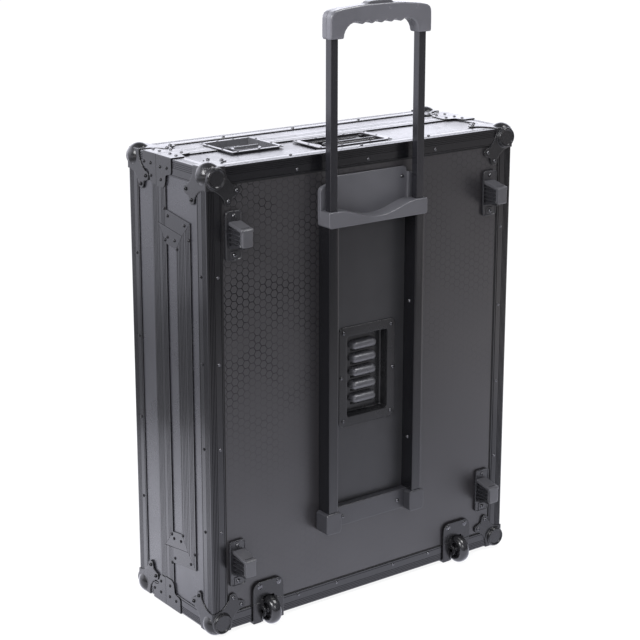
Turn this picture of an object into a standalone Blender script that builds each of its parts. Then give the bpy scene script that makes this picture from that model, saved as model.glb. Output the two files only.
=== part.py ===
"""Wheeled flight case with a lift-off lid, a removable access panel and a trolley handle.

All lengths are metres. Points are given in the case's own coordinates: x runs across the case
from its middle, y runs inwards from the back face that carries the trolley, and z runs up from
the bottom face. One empty carries the whole case, so that the world origin is on the floor.
"""
import math

import bmesh
import bpy
from mathutils import Euler, Matrix, Vector

# Outer sizes of the case
CASE_WIDTH = 0.648
CASE_HEIGHT = 0.800
BASE_DEPTH = 0.148
LID_DEPTH = 0.090
CASE_DEPTH = BASE_DEPTH + LID_DEPTH
HALF_WIDTH = CASE_WIDTH / 2
HALF_HEIGHT = CASE_HEIGHT / 2

# How far the hardware stands proud of the case
BALL_PROUD = 0.0075
BOSS_PROUD = 0.008
FOOT_PROUD = 0.040

# Sheet and board thicknesses
GAP = 0.0003
SKIN = 0.0015
BOARD = 0.007
CORNER_TRIM = 0.010
EDGE_LEG = 0.029
BOARD_IN = SKIN + GAP
WALL_IN = BOARD_IN + BOARD

# The closing profiles on each side of the seam
SEAM = BASE_DEPTH
RING_BASE_START = 0.1224
RING_LID_END = 0.165
RING_PROUD = 0.0004
LIP_DEPTH = 0.008
LIP_IN = 0.018
SEAM_LOW = SEAM - GAP / 2
SEAM_HIGH = SEAM + GAP / 2

# The removable access panel in the -X wall, a wedge that is wider at the lid
PANEL_FLOOR = 0.074
JOINT_MIDDLE = 0.119
JOINT_HEIGHT = 0.1163
JOINT_SLOPE = 0.14
STRIP = 0.0285
PANEL_GAP = 0.0004

# Trolley
RAIL_X = 0.092
RAIL_WIDTH = 0.020
RAIL_PROUD = 0.0285
RAIL_LOW = 0.1504
RAIL_TOP = 0.703
TUBE_WIDTH = 0.0158
TUBE_NEAR = 0.0134
TUBE_FAR = 0.0268
TUBE_LOW = 0.620
GRIP_LOW = 0.990
SOCKET = 0.012

# Caster wheels, sunk into the bottom edge
WHEEL_X = 0.2123
WHEEL_RADIUS = 0.025
WHEEL_WIDTH = 0.020
AXLE_PROUD = 0.0084
AXLE_HEIGHT = WHEEL_RADIUS - BALL_PROUD + 0.0004

# Latches: name, turn about Y and place of the middle on its face
LATCHES = (
    ("top", 0, (-0.1675, CASE_HEIGHT)),
    ("bottom", 180, (-0.1675, 0.0)),
    ("front_low", 90, (HALF_WIDTH, 0.210)),
    ("front_high", 90, (HALF_WIDTH, 0.590)),
)
LATCH_HALF = 0.0525
LATCH_START = 0.081
LATCH_END = 0.185
LATCH_RIM = 0.006
LATCH_DEEP = 0.013
WING_Y = 0.118
FLANGE_LOW = 0.0007
FLANGE_TOP = 0.0022
PAN_SHEET = 0.0012

# Vent dish
VENT_Z = 0.4018
VENT_HALF_WIDTH = 0.0615
VENT_HALF_HEIGHT = 0.0883
VENT_DEEP = 0.021
SCOOPS = 5
SCOOP_PITCH = 0.0243

# Handle dish on the top
DISH_HALF = 0.0785
DISH_START = 0.030
DISH_END = 0.113
DISH_DEEP = 0.022
BAIL_Y = 0.1025
BAIL_DOWN = 0.006
GRIP_BAR_Y = 0.054


def finish(name, colour, roughness, metallic=0.0):
    """Return a Principled material, made once for each name."""
    material = bpy.data.materials.get(name) or bpy.data.materials.new(name)
    material.use_nodes = True
    shader = material.node_tree.nodes["Principled BSDF"]
    shader.inputs["Base Color"].default_value = (*colour, 1.0)
    shader.inputs["Roughness"].default_value = roughness
    shader.inputs["Metallic"].default_value = metallic
    material.diffuse_color = (*colour, 1.0)
    return material


def laminate():
    return finish("black_laminate", (0.018, 0.018, 0.020), 0.42)


def black_metal():
    return finish("black_aluminium", (0.022, 0.022, 0.024), 0.33, 0.6)


def black_steel():
    return finish("black_steel", (0.020, 0.020, 0.022), 0.28, 0.5)


def rubber():
    return finish("black_rubber", (0.028, 0.028, 0.030), 0.60)


def grey_plastic():
    return finish("grey_plastic", (0.070, 0.072, 0.076), 0.46)


def tyre_rubber():
    return finish("tyre_rubber", (0.030, 0.030, 0.032), 0.55)


def foam():
    return finish("black_foam", (0.012, 0.012, 0.013), 0.95)


def remove_all():
    for old in list(bpy.data.objects):
        bpy.data.objects.remove(old, do_unlink=True)


def empty(name, parent=None, location=(0, 0, 0), turn_y=0.0):
    """Return an empty that carries other objects."""
    holder = bpy.data.objects.new(name, None)
    bpy.context.collection.objects.link(holder)
    holder.parent = parent
    holder.location = location
    holder.rotation_euler = Euler((0.0, math.radians(turn_y), 0.0))
    return holder


def place(name, mesh_data, material, parent, origin=(0, 0, 0)):
    """Turn a bmesh into an object whose own origin is at the point origin of its parent."""
    bmesh.ops.recalc_face_normals(mesh_data, faces=mesh_data.faces)
    bmesh.ops.translate(mesh_data, verts=mesh_data.verts, vec=-Vector(origin))
    mesh = bpy.data.meshes.new(name)
    mesh_data.to_mesh(mesh)
    mesh_data.free()
    if material:
        mesh.materials.append(material)
    item = bpy.data.objects.new(name, mesh)
    bpy.context.collection.objects.link(item)
    item.parent = parent
    item.location = origin
    return item


def smooth(item, degrees=35.0):
    item.data.shade_smooth()
    item.data.set_sharp_from_angle(angle=math.radians(degrees))
    return item


def box_mesh(low, high):
    """Return a bmesh box between two corners."""
    mesh_data = bmesh.new()
    bmesh.ops.create_cube(mesh_data, size=1.0)
    size = Vector(high) - Vector(low)
    bmesh.ops.scale(mesh_data, verts=mesh_data.verts, vec=size)
    bmesh.ops.translate(mesh_data, verts=mesh_data.verts, vec=(Vector(low) + Vector(high)) / 2)
    return mesh_data


def trimmed_box_mesh(low, high, corners, trim):
    """Return a bmesh box with a flat cut across each of the case's corners that it holds."""
    mesh_data = box_mesh(low, high)
    middle = (Vector(low) + Vector(high)) / 2
    for corner in corners:
        away = Vector([1 if corner[i] > middle[i] else -1 for i in range(3)]).normalized()
        spot = Vector(corner) - away * trim / math.sqrt(3)
        geometry = list(mesh_data.verts) + list(mesh_data.edges) + list(mesh_data.faces)
        result = bmesh.ops.bisect_plane(mesh_data, geom=geometry, plane_co=spot, plane_no=away,
                                        clear_outer=True)
        rim = [item for item in result["geom_cut"] if isinstance(item, bmesh.types.BMEdge)]
        bmesh.ops.contextual_create(mesh_data, geom=rim)
    return mesh_data


def case_corners(y):
    """Return the four corners of the case at depth y."""
    return [(x, y, z) for x in (-HALF_WIDTH, HALF_WIDTH) for z in (0.0, CASE_HEIGHT)]


def prism_mesh(outline, axis, start, end):
    """Return a bmesh of a flat outline, given in the two other axes, drawn out along axis."""
    spots = {
        "X": lambda u, v: (start, u, v),
        "Y": lambda u, v: (u, start, v),
        "Z": lambda u, v: (u, v, start),
    }
    along = {"X": (1, 0, 0), "Y": (0, 1, 0), "Z": (0, 0, 1)}[axis]
    mesh_data = bmesh.new()
    ring = [mesh_data.verts.new(spots[axis](u, v)) for u, v in outline]
    face = mesh_data.faces.new(ring)
    grown = bmesh.ops.extrude_face_region(mesh_data, geom=[face])
    moved = [item for item in grown["geom"] if isinstance(item, bmesh.types.BMVert)]
    bmesh.ops.translate(mesh_data, verts=moved, vec=Vector(along) * (end - start))
    return mesh_data


def rod_mesh(middle, radius, axis, start, end, sides=24):
    """Return a bmesh cylinder; middle gives its place in the two other axes."""
    u, v = middle
    half = (start + end) / 2
    centre, turn = {
        "X": ((half, u, v), Euler((0, math.pi / 2, 0))),
        "Y": ((u, half, v), Euler((math.pi / 2, 0, 0))),
        "Z": ((u, v, half), Euler((0, 0, 0))),
    }[axis]
    mesh_data = bmesh.new()
    matrix = Matrix.Translation(centre) @ turn.to_matrix().to_4x4()
    bmesh.ops.create_cone(mesh_data, cap_ends=True, segments=sides, radius1=radius, radius2=radius,
                          depth=end - start, matrix=matrix)
    return mesh_data


def tool(kind, parent, mesh_data):
    """Place a hidden shape that cuts or joins another object."""
    item = place("tool_" + kind, mesh_data, None, parent)
    item.display_type = "WIRE"
    item.hide_render = True
    return item


def combine(item, other, operation):
    step = item.modifiers.new(operation.title(), "BOOLEAN")
    step.operation = operation
    step.object = other


def cut(item, *others):
    for other in others:
        combine(item, other, "DIFFERENCE")


def fuse(item, *others):
    for other in others:
        combine(item, other, "UNION")


def soften(item, width, segments=2, degrees=40.0):
    """Bevel the sharp edges of an object."""
    step = item.modifiers.new("Bevel", "BEVEL")
    step.width = width
    step.segments = segments
    step.limit_method = "ANGLE"
    step.angle_limit = math.radians(degrees)


def rounded(low, high, radius, steps=4):
    """Return the outline of a rectangle with round corners."""
    corners = (
        (high[0] - radius, high[1] - radius, 0.0),
        (low[0] + radius, high[1] - radius, 0.25),
        (low[0] + radius, low[1] + radius, 0.5),
        (high[0] - radius, low[1] + radius, 0.75),
    )
    points = []
    for u, v, first in corners:
        for step in range(steps + 1):
            angle = math.tau * (first + 0.25 * step / steps)
            points.append((u + radius * math.cos(angle), v + radius * math.sin(angle)))
    return points


def mirrored(outline):
    """Return the outline flipped left to right."""
    return [(-u, v) for u, v in reversed(outline)]


def joint_height(y):
    """Return the height of the access panel's lower slanted joint at depth y."""
    return JOINT_HEIGHT + (JOINT_MIDDLE - y) * JOINT_SLOPE


def wedge(low_y, high_y, inset):
    """Return the outline of a wedge about the access panel, in y and z."""
    low = [(low_y, joint_height(low_y) + inset), (high_y, joint_height(high_y) + inset)]
    return low + [(y, CASE_HEIGHT - z) for y, z in reversed(low)]


def latch_cutters(case, kind):
    """Return the boxes that clear the latches out of walls, frames and foam."""
    cutters = []
    for name, turn, spot in LATCHES:
        holder = empty(f"{kind}_{name}_place", case, (spot[0], 0.0, spot[1]), turn)
        reach = LATCH_HALF - LATCH_RIM + 0.001
        low = (-reach, LATCH_START + LATCH_RIM - 0.001, -LATCH_DEEP - 0.0016)
        high = (reach, LATCH_END - LATCH_RIM + 0.001, 0.010)
        cutters.append(tool(f"{kind}_{name}_hole", holder, box_mesh(low, high)))
    return cutters


def handle_cutter(case, kind):
    low = (-DISH_HALF + 0.0115, DISH_START + 0.0065, CASE_HEIGHT - DISH_DEEP - 0.0016)
    high = (DISH_HALF - 0.0115, DISH_END - 0.0025, CASE_HEIGHT + 0.010)
    return tool(f"{kind}_handle_hole", case, box_mesh(low, high))


def vent_cutter(case, kind):
    low = (-0.0447, -0.005, VENT_Z - 0.0742)
    high = (0.0447, 0.060, VENT_Z + 0.0742)
    return tool(f"{kind}_vent_hole", case, box_mesh(low, high))


def wheel_cutters(case, kind):
    """Return the boxes that let the two caster housings into the bottom edge."""
    cutters = []
    for side in (-1, 1):
        low = (side * WHEEL_X - 0.0172, -0.010, -0.010)
        high = (side * WHEEL_X + 0.0172, 0.0237, 0.0487)
        cutters.append(tool(f"{kind}_wheel_hole_{side}", case, box_mesh(low, high)))
    return cutters


def access_opening(case, kind):
    """Return the cutter for the opening that the access panel fills."""
    outline = wedge(PANEL_FLOOR, BASE_DEPTH + 0.012, 0.0)
    opening = prism_mesh(outline, "X", -HALF_WIDTH - 0.02, -HALF_WIDTH + 0.02)
    return tool(kind + "_access_opening", case, opening)


def board(name, case, low, high):
    return place(name, box_mesh(low, high), laminate(), case)


def base_boards(case):
    """Build the back panel and the four walls of the base tray."""
    inner = BOARD_IN + BOARD + GAP
    end = SEAM - LIP_DEPTH - 2 * GAP
    side = HALF_WIDTH - BOARD_IN
    panel_mesh = trimmed_box_mesh((-side, BOARD_IN, BOARD_IN), (side, WALL_IN, CASE_HEIGHT - BOARD_IN),
                                  case_corners(0.0), CORNER_TRIM)
    panel = place("base_back_panel", panel_mesh, laminate(), case)
    cut(panel, vent_cutter(case, "panel"), *wheel_cutters(case, "panel"))
    access = board("base_wall_access_side", case, (-side, inner, BOARD_IN),
                   (-side + BOARD, end, CASE_HEIGHT - BOARD_IN))
    cut(access, access_opening(case, "wall"))
    front = board("base_wall_front", case, (side - BOARD, inner, BOARD_IN),
                  (side, end, CASE_HEIGHT - BOARD_IN))
    cut(front, *latch_cutters(case, "front")[2:])
    across = side - BOARD - GAP
    top = board("base_wall_top", case, (-across, inner, CASE_HEIGHT - WALL_IN),
                (across, end, CASE_HEIGHT - BOARD_IN))
    cut(top, latch_cutters(case, "top")[0], handle_cutter(case, "top"))
    bottom = board("base_wall_bottom", case, (-across, inner, BOARD_IN), (across, end, WALL_IN))
    cut(bottom, latch_cutters(case, "bottom")[1], *wheel_cutters(case, "bottom"))


def lid_boards(case):
    """Build the lid's panel and the ring of its four walls."""
    side = HALF_WIDTH - BOARD_IN
    far = CASE_DEPTH - BOARD_IN
    panel_mesh = trimmed_box_mesh((-side, far - BOARD, BOARD_IN), (side, far, CASE_HEIGHT - BOARD_IN),
                                  case_corners(CASE_DEPTH), CORNER_TRIM)
    place("lid_panel", panel_mesh, laminate(), case)
    start = SEAM + LIP_DEPTH + 2 * GAP
    walls = board("lid_walls", case, (-side, start, BOARD_IN),
                  (side, far - BOARD - GAP, CASE_HEIGHT - BOARD_IN))
    hollow = box_mesh((-side + BOARD, start - 0.01, WALL_IN),
                      (side - BOARD, far + 0.01, CASE_HEIGHT - WALL_IN))
    cut(walls, tool("lid_walls_hollow", case, hollow), *latch_cutters(case, "lid_walls"))


def edge_frame(name, case, face_y, end_y):
    """Build the angle sections along the eight edges of one half, as one riveted frame."""
    low_y, high_y = sorted((face_y, end_y))
    inward = 1 if end_y > face_y else -1
    block = trimmed_box_mesh((-HALF_WIDTH, low_y, 0), (HALF_WIDTH, high_y, CASE_HEIGHT),
                             case_corners(face_y), CORNER_TRIM)
    frame = place(name, block, black_metal(), case)
    beyond = end_y + inward * 0.01
    y_range = sorted((face_y + inward * SKIN, beyond))
    hollow = box_mesh((-HALF_WIDTH + SKIN, y_range[0], SKIN),
                      (HALF_WIDTH - SKIN, y_range[1], CASE_HEIGHT - SKIN))
    leg_range = sorted((face_y + inward * EDGE_LEG, beyond))
    sides = box_mesh((-1, leg_range[0], EDGE_LEG), (1, leg_range[1], CASE_HEIGHT - EDGE_LEG))
    ends = box_mesh((-HALF_WIDTH + EDGE_LEG, leg_range[0], -1), (HALF_WIDTH - EDGE_LEG, leg_range[1], 2))
    face = box_mesh((-HALF_WIDTH + EDGE_LEG, -1, EDGE_LEG),
                    (HALF_WIDTH - EDGE_LEG, 1, CASE_HEIGHT - EDGE_LEG))
    cut(frame, tool(name + "_hollow", case, hollow), tool(name + "_sides", case, sides),
        tool(name + "_ends", case, ends), tool(name + "_face", case, face))
    return frame


def seam_ring(name, case, low_y, high_y, lip_low, lip_high):
    """Build the closing profile round one half: an outer skin and an inner lip at the seam."""
    side = HALF_WIDTH + RING_PROUD
    ring = place(name, box_mesh((-side, low_y, -RING_PROUD), (side, high_y, CASE_HEIGHT + RING_PROUD)),
                 black_metal(), case)
    channel_low = lip_high if lip_low <= low_y else low_y - 0.01
    channel_high = lip_low if lip_low > low_y else high_y + 0.01
    channel = box_mesh((-HALF_WIDTH + SKIN, channel_low, SKIN),
                       (HALF_WIDTH - SKIN, channel_high, CASE_HEIGHT - SKIN))
    throat = box_mesh((-HALF_WIDTH + LIP_IN, low_y - 0.02, LIP_IN),
                      (HALF_WIDTH - LIP_IN, high_y + 0.02, CASE_HEIGHT - LIP_IN))
    cut(ring, tool(name + "_channel", case, channel), tool(name + "_throat", case, throat))
    return ring


# Folded sheet on the outside: its two faces, and where each leaf ends inside the fold
SHEET_NEAR = 0.0003
SHEET_FAR = 0.0018
SHEET_FOLD = 0.0012

# Corner braces, as distance from the end face and depth y
BASE_BRACE = (
    (-SHEET_FOLD, SEAM_LOW), (0.052, SEAM_LOW), (0.052, 0.130), (0.046, 0.121), (0.031, 0.119),
    (0.028, 0.106), (0.022, 0.101), (-SHEET_FOLD, 0.101),
)
LID_BRACE = (
    (-SHEET_FOLD, SEAM_HIGH), (0.050, SEAM_HIGH), (0.050, 0.160), (0.044, 0.168), (0.030, 0.171),
    (0.026, 0.184), (0.020, 0.189), (-SHEET_FOLD, 0.189),
)


def add_braces(ring, case, outline, kind):
    """Fuse the four folded corner braces of one half to its closing profile."""
    for right in (False, True):
        for high in (False, True):
            x_side = 1 if right else -1
            side_outline = [(y, CASE_HEIGHT - e if high else e) for e, y in outline]
            x_range = sorted((x_side * (HALF_WIDTH + SHEET_NEAR), x_side * (HALF_WIDTH + SHEET_FAR)))
            end_outline = [(x_side * (HALF_WIDTH - e), y) for e, y in outline]
            z_range = (-SHEET_FAR, -SHEET_NEAR)
            if high:
                z_range = (CASE_HEIGHT + SHEET_NEAR, CASE_HEIGHT + SHEET_FAR)
            label = f"{kind}_{x_side}_{int(high)}"
            fuse(ring, tool("brace_side_" + label, case, prism_mesh(side_outline, "X", *x_range)),
                 tool("brace_end_" + label, case, prism_mesh(end_outline, "Z", *z_range)))


def base_seam_frame(case):
    """Build the base's closing profile, with the fixed frame round the access panel's opening."""
    ring = seam_ring("base_closing_frame", case, RING_BASE_START, SEAM_LOW, SEAM - LIP_DEPTH, SEAM)
    add_braces(ring, case, BASE_BRACE, "base")
    cut(ring, access_opening(case, "ring"))
    outer_low = PANEL_FLOOR - 0.0245
    outer_end = JOINT_HEIGHT - STRIP
    slope = 0.16
    half = [
        (RING_BASE_START + 0.001, outer_end + (JOINT_MIDDLE - RING_BASE_START) * slope),
        (outer_low, outer_end + (JOINT_MIDDLE - outer_low) * slope),
    ]
    inner_half = [
        (PANEL_FLOOR, joint_height(PANEL_FLOOR)),
        (RING_BASE_START + 0.001, joint_height(RING_BASE_START + 0.001)),
    ]
    outline = half + [(y, CASE_HEIGHT - z) for y, z in reversed(half)]
    outline += [(y, CASE_HEIGHT - z) for y, z in reversed(inner_half)] + inner_half
    skin = prism_mesh(outline, "X", -HALF_WIDTH - RING_PROUD, -HALF_WIDTH + SKIN)
    fuse(ring, tool("access_surround", case, skin))
    cut(ring, *latch_cutters(case, "base_ring"))


def lid_seam_frame(case):
    ring = seam_ring("lid_closing_frame", case, SEAM_HIGH, RING_LID_END, SEAM, SEAM + LIP_DEPTH)
    add_braces(ring, case, LID_BRACE, "lid")
    cut(ring, *latch_cutters(case, "lid_ring"))


def access_panel(case):
    """Build the removable panel: its board and the profile riveted round it."""
    outer = -HALF_WIDTH - RING_PROUD
    pivot = (-HALF_WIDTH, PANEL_FLOOR, HALF_HEIGHT)
    inner = -HALF_WIDTH + BOARD_IN
    low_y = PANEL_FLOOR + PANEL_GAP
    frame_mesh = prism_mesh(wedge(low_y, SEAM_LOW, PANEL_GAP), "X", outer, -HALF_WIDTH + SKIN)
    frame = place("access_panel_frame", frame_mesh, black_metal(), case, pivot)
    lip_outline = wedge(SEAM - LIP_DEPTH, SEAM_LOW - 0.0002, PANEL_GAP + 0.0002)
    lip_mesh = prism_mesh(lip_outline, "X", outer + 0.001, -HALF_WIDTH + LIP_IN)
    fuse(frame, tool("access_lip", case, lip_mesh))
    window = wedge(0.093, RING_BASE_START, STRIP)
    cut(frame, tool("access_window", case, prism_mesh(window, "X", -0.34, -0.30)))
    end = SEAM - LIP_DEPTH - 2 * GAP
    panel_mesh = prism_mesh(wedge(low_y, end, PANEL_GAP), "X", inner, inner + BOARD)
    place("access_panel_board", panel_mesh, laminate(), case, pivot)


# Half of a ball corner's plate, as distances from the two edges of the case
BALL_HALF_LOBE = (
    (0.006, -SHEET_FOLD), (0.034, -SHEET_FOLD), (0.040, 0.017), (0.053, 0.030), (0.0605, 0.0325),
    (0.064, 0.0395), (0.0615, 0.0465), (0.0545, 0.0505),
)
BALL_RADIUS = 0.0235
DISC_IN = 0.0175
DISC_RADIUS = 0.0175


def ball_corner(name, case, right, lid, high):
    """Build one pressed ball corner: three plates with two lobes each, and the ball itself."""
    x_side = 1 if right else -1
    y_side = 1 if lid else -1
    z_side = 1 if high else -1
    corner = Vector((x_side * HALF_WIDTH, CASE_DEPTH if lid else 0.0, CASE_HEIGHT if high else 0.0))
    inward = Vector((-x_side, -y_side, -z_side))
    outline = list(BALL_HALF_LOBE) + [(v, u) for u, v in reversed(BALL_HALF_LOBE)]
    ball_mesh = bmesh.new()
    centre = corner + inward * (BALL_RADIUS - BALL_PROUD)
    bmesh.ops.create_uvsphere(ball_mesh, u_segments=20, v_segments=12, radius=BALL_RADIUS,
                              matrix=Matrix.Translation(centre))
    ball = place(name, ball_mesh, black_steel(), case)
    for axis, normal, first, second in (("X", 0, 1, 2), ("Y", 1, 0, 2), ("Z", 2, 0, 1)):
        points = [(corner[first] + inward[first] * u, corner[second] + inward[second] * v)
                  for u, v in outline]
        near = corner[normal] - inward[normal] * SHEET_NEAR
        far = corner[normal] - inward[normal] * SHEET_FAR
        fuse(ball, tool(f"{name}_plate_{axis}", case, prism_mesh(points, axis, *sorted((near, far)))))
    disc_middle = (corner.x + inward.x * DISC_IN, corner.z + inward.z * DISC_IN)
    boss = sorted((corner.y + inward.y * 0.004, corner.y - inward.y * BOSS_PROUD))
    fuse(ball, tool(name + "_boss", case, rod_mesh(disc_middle, DISC_RADIUS, "Y", *boss)))
    recess = sorted((corner.y - inward.y * (BOSS_PROUD - 0.001), corner.y - inward.y * 0.02))
    cut(ball, tool(name + "_recess", case, rod_mesh(disc_middle, DISC_RADIUS - 0.0033, "Y", *recess)))
    outer = corner - inward * SHEET_NEAR
    deep = corner + inward * 0.10
    low = [min(outer[i], deep[i]) for i in range(3)]
    high = [max(outer[i], deep[i]) for i in range(3)]
    space = trimmed_box_mesh(low, high, [corner], CORNER_TRIM - 0.0006)
    cut(ball, tool(name + "_space", case, space))
    smooth(ball)


def ball_corners(case):
    for lid in (False, True):
        for right in (False, True):
            for high in (False, True):
                half = "lid" if lid else "base"
                side = "right" if right else "left"
                level = "top" if high else "bottom"
                ball_corner(f"{half}_ball_corner_{side}_{level}", case, right, lid, high)


def rubber_foot(name, case, x, z):
    """Build one foot: a screwed plate with a tall ribbed block that narrows to its tip."""
    half = 0.0155
    base_low = -SKIN
    base_high = 0.0025
    plate = prism_mesh(rounded((x - half, z - 0.041), (x + half, z + 0.041), 0.005, 3), "Y",
                       -base_high, -base_low)
    foot = place(name, plate, rubber(), case)
    side = -1 if x < 0 else 1
    middle = x - side * 0.002
    profile = [(-0.0015, z - 0.023), (-0.0015, z + 0.024), (-0.030, z + 0.018), (-FOOT_PROUD, z + 0.016),
               (-FOOT_PROUD, z - 0.011), (-0.030, z - 0.015)]
    block = tool(name + "_block", case, prism_mesh(profile, "X", middle - 0.012, middle + 0.012))
    soften(block, 0.002, 1)
    fuse(foot, block)
    for rib in range(4):
        level = 0.008 + 0.0075 * rib
        low = (middle - 0.0132, -level - 0.002, z - 0.013)
        high = (middle + 0.0132, -level + 0.002, z + 0.013)
        fuse(foot, tool(f"{name}_rib_{rib}", case, box_mesh(low, high)))


def rubber_feet(case):
    for side, label in ((-1, "left"), (1, "right")):
        for z, level in ((0.118, "low"), (0.682, "high")):
            rubber_foot(f"rubber_foot_{label}_{level}", case, side * 0.2737, z)


def vent_dish(case):
    """Build the vent: a flanged recess with scoop louvres over slots in its floor."""
    flange = rounded((-VENT_HALF_WIDTH, VENT_Z - VENT_HALF_HEIGHT),
                     (VENT_HALF_WIDTH, VENT_Z + VENT_HALF_HEIGHT), 0.010, 4)
    dish = place("vent_dish", prism_mesh(flange, "Y", -SKIN, 0.0), black_steel(), case)
    outer = rounded((-0.0442, VENT_Z - 0.0737), (0.0442, VENT_Z + 0.0737), 0.009, 3)
    inner = rounded((-0.043, VENT_Z - 0.0725), (0.043, VENT_Z + 0.0725), 0.008, 3)
    fuse(dish, tool("vent_wall", case, prism_mesh(outer, "Y", -0.001, VENT_DEEP + 0.0015)))
    cut(dish, tool("vent_hollow", case, prism_mesh(inner, "Y", -0.010, VENT_DEEP)))
    for number in range(SCOOPS):
        z = VENT_Z + (number - (SCOOPS - 1) / 2) * SCOOP_PITCH
        scoop = rounded((-0.027, z - 0.0055), (0.028, z + 0.006), 0.0055, 3)
        hump = tool(f"scoop_{number}", case, prism_mesh(scoop, "Y", VENT_DEEP - 0.004, VENT_DEEP + 0.0005))
        soften(hump, 0.002, 1)
        fuse(dish, hump)
        slot = box_mesh((-0.022, VENT_DEEP - 0.0025, z - 0.009), (0.023, VENT_DEEP + 0.01, z + 0.001))
        cut(dish, tool(f"slot_{number}", case, slot))


def trolley_rail(name, case, x):
    """Build one fixed outer rail, with the channel that its tube slides in."""
    half = RAIL_WIDTH / 2
    outside = box_mesh((x - half, -RAIL_PROUD, RAIL_LOW), (x + half, SKIN, RAIL_TOP))
    rail = place(name, outside, black_metal(), case)
    channel = box_mesh((x - TUBE_WIDTH / 2 - GAP, -TUBE_FAR - 0.0005, RAIL_LOW + 0.002),
                       (x + TUBE_WIDTH / 2 + GAP, -TUBE_NEAR + 0.0005, RAIL_TOP + 0.01))
    cut(rail, tool(name + "_channel", case, channel))


def trolley_backing(case):
    """Build the thin plate between the rails, with a hole for the vent."""
    side = RAIL_X - RAIL_WIDTH / 2 - GAP
    plate = place("trolley_backing_plate", box_mesh((-side, GAP, 0.1730), (side, SKIN, 0.6768)),
                  black_metal(), case)
    cut(plate, vent_cutter(case, "backing"))


def arc_points(start, middle, end, count):
    """Return points along a parabola through three places, the middle one halfway."""
    points = []
    for step in range(count + 1):
        t = step / count
        u = start[0] + (end[0] - start[0]) * t
        bow = 4 * t * (1 - t)
        v = start[1] + (end[1] - start[1]) * t + bow * (middle - (start[1] + end[1]) / 2)
        points.append((u, v))
    return points


def rail_holes(case, kind, low_z, high_z):
    """Return the cutters that let the two rails into a bracket."""
    cutters = []
    half = RAIL_WIDTH / 2 + GAP
    for side in (-1, 1):
        low = (side * RAIL_X - half, -RAIL_PROUD - GAP, low_z)
        high = (side * RAIL_X + half, SKIN + 0.002, high_z)
        cutters.append(tool(f"{kind}_rail_hole_{side}", case, box_mesh(low, high)))
    return cutters


def upper_bracket(case):
    """Build the moulded bracket that holds the rails' tops and takes the grip when it is down."""
    lip = 0.0325
    lip_outline = [(-0.100, 0.6775), (0.100, 0.6775), (0.105, 0.682)]
    lip_outline += arc_points((0.105, 0.705), 0.6895, (-0.105, 0.705), 14)
    lip_outline += [(-0.105, 0.682)]
    bracket = place("trolley_upper_bracket", prism_mesh(lip_outline, "Y", -lip, SKIN), grey_plastic(), case)
    back_outline = [(-0.081, 0.685), (0.081, 0.685), (0.081, 0.752), (0.0745, 0.759),
                    (-0.0745, 0.759), (-0.081, 0.752)]
    fuse(bracket, tool("upper_back", case, prism_mesh(back_outline, "Y", -0.0030, SKIN - 0.0003)))
    for side in (-1, 1):
        ear = [(0.080, 0.690), (0.1055, 0.690), (0.1055, 0.738), (0.101, 0.7445), (0.080, 0.750)]
        outline = ear if side > 0 else mirrored(ear)
        fuse(bracket, tool(f"upper_ear_{side}", case, prism_mesh(outline, "Y", -0.0080, SKIN - 0.0006)))
    cut(bracket, *rail_holes(case, "upper", 0.660, RAIL_TOP + GAP))
    for side in (-1, 1):
        low = (side * RAIL_X - TUBE_WIDTH / 2 - 0.001, -TUBE_FAR - 0.001, RAIL_TOP - 0.010)
        high = (side * RAIL_X + TUBE_WIDTH / 2 + 0.001, -TUBE_NEAR + 0.001, 0.730)
        cut(bracket, tool(f"upper_tube_hole_{side}", case, box_mesh(low, high)))


def lower_bracket(case):
    """Build the moulded foot of the trolley: two sockets for the rails and a low bar."""
    bar = prism_mesh(rounded((-0.100, 0.136), (0.100, 0.1725), 0.006, 3), "Y", -0.0135, SKIN)
    bracket = place("trolley_lower_bracket", bar, grey_plastic(), case)
    for side in (-1, 1):
        low, high = sorted((side * 0.076, side * 0.108))
        cap = tool(f"lower_cap_{side}", case,
                   prism_mesh(rounded((low, 0.133), (high, 0.171), 0.006, 3), "Y", -0.0312, SKIN - 0.0003))
        soften(cap, 0.002, 1)
        fuse(bracket, cap)
    cut(bracket, *rail_holes(case, "lower", RAIL_LOW - GAP, 0.20))


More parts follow.
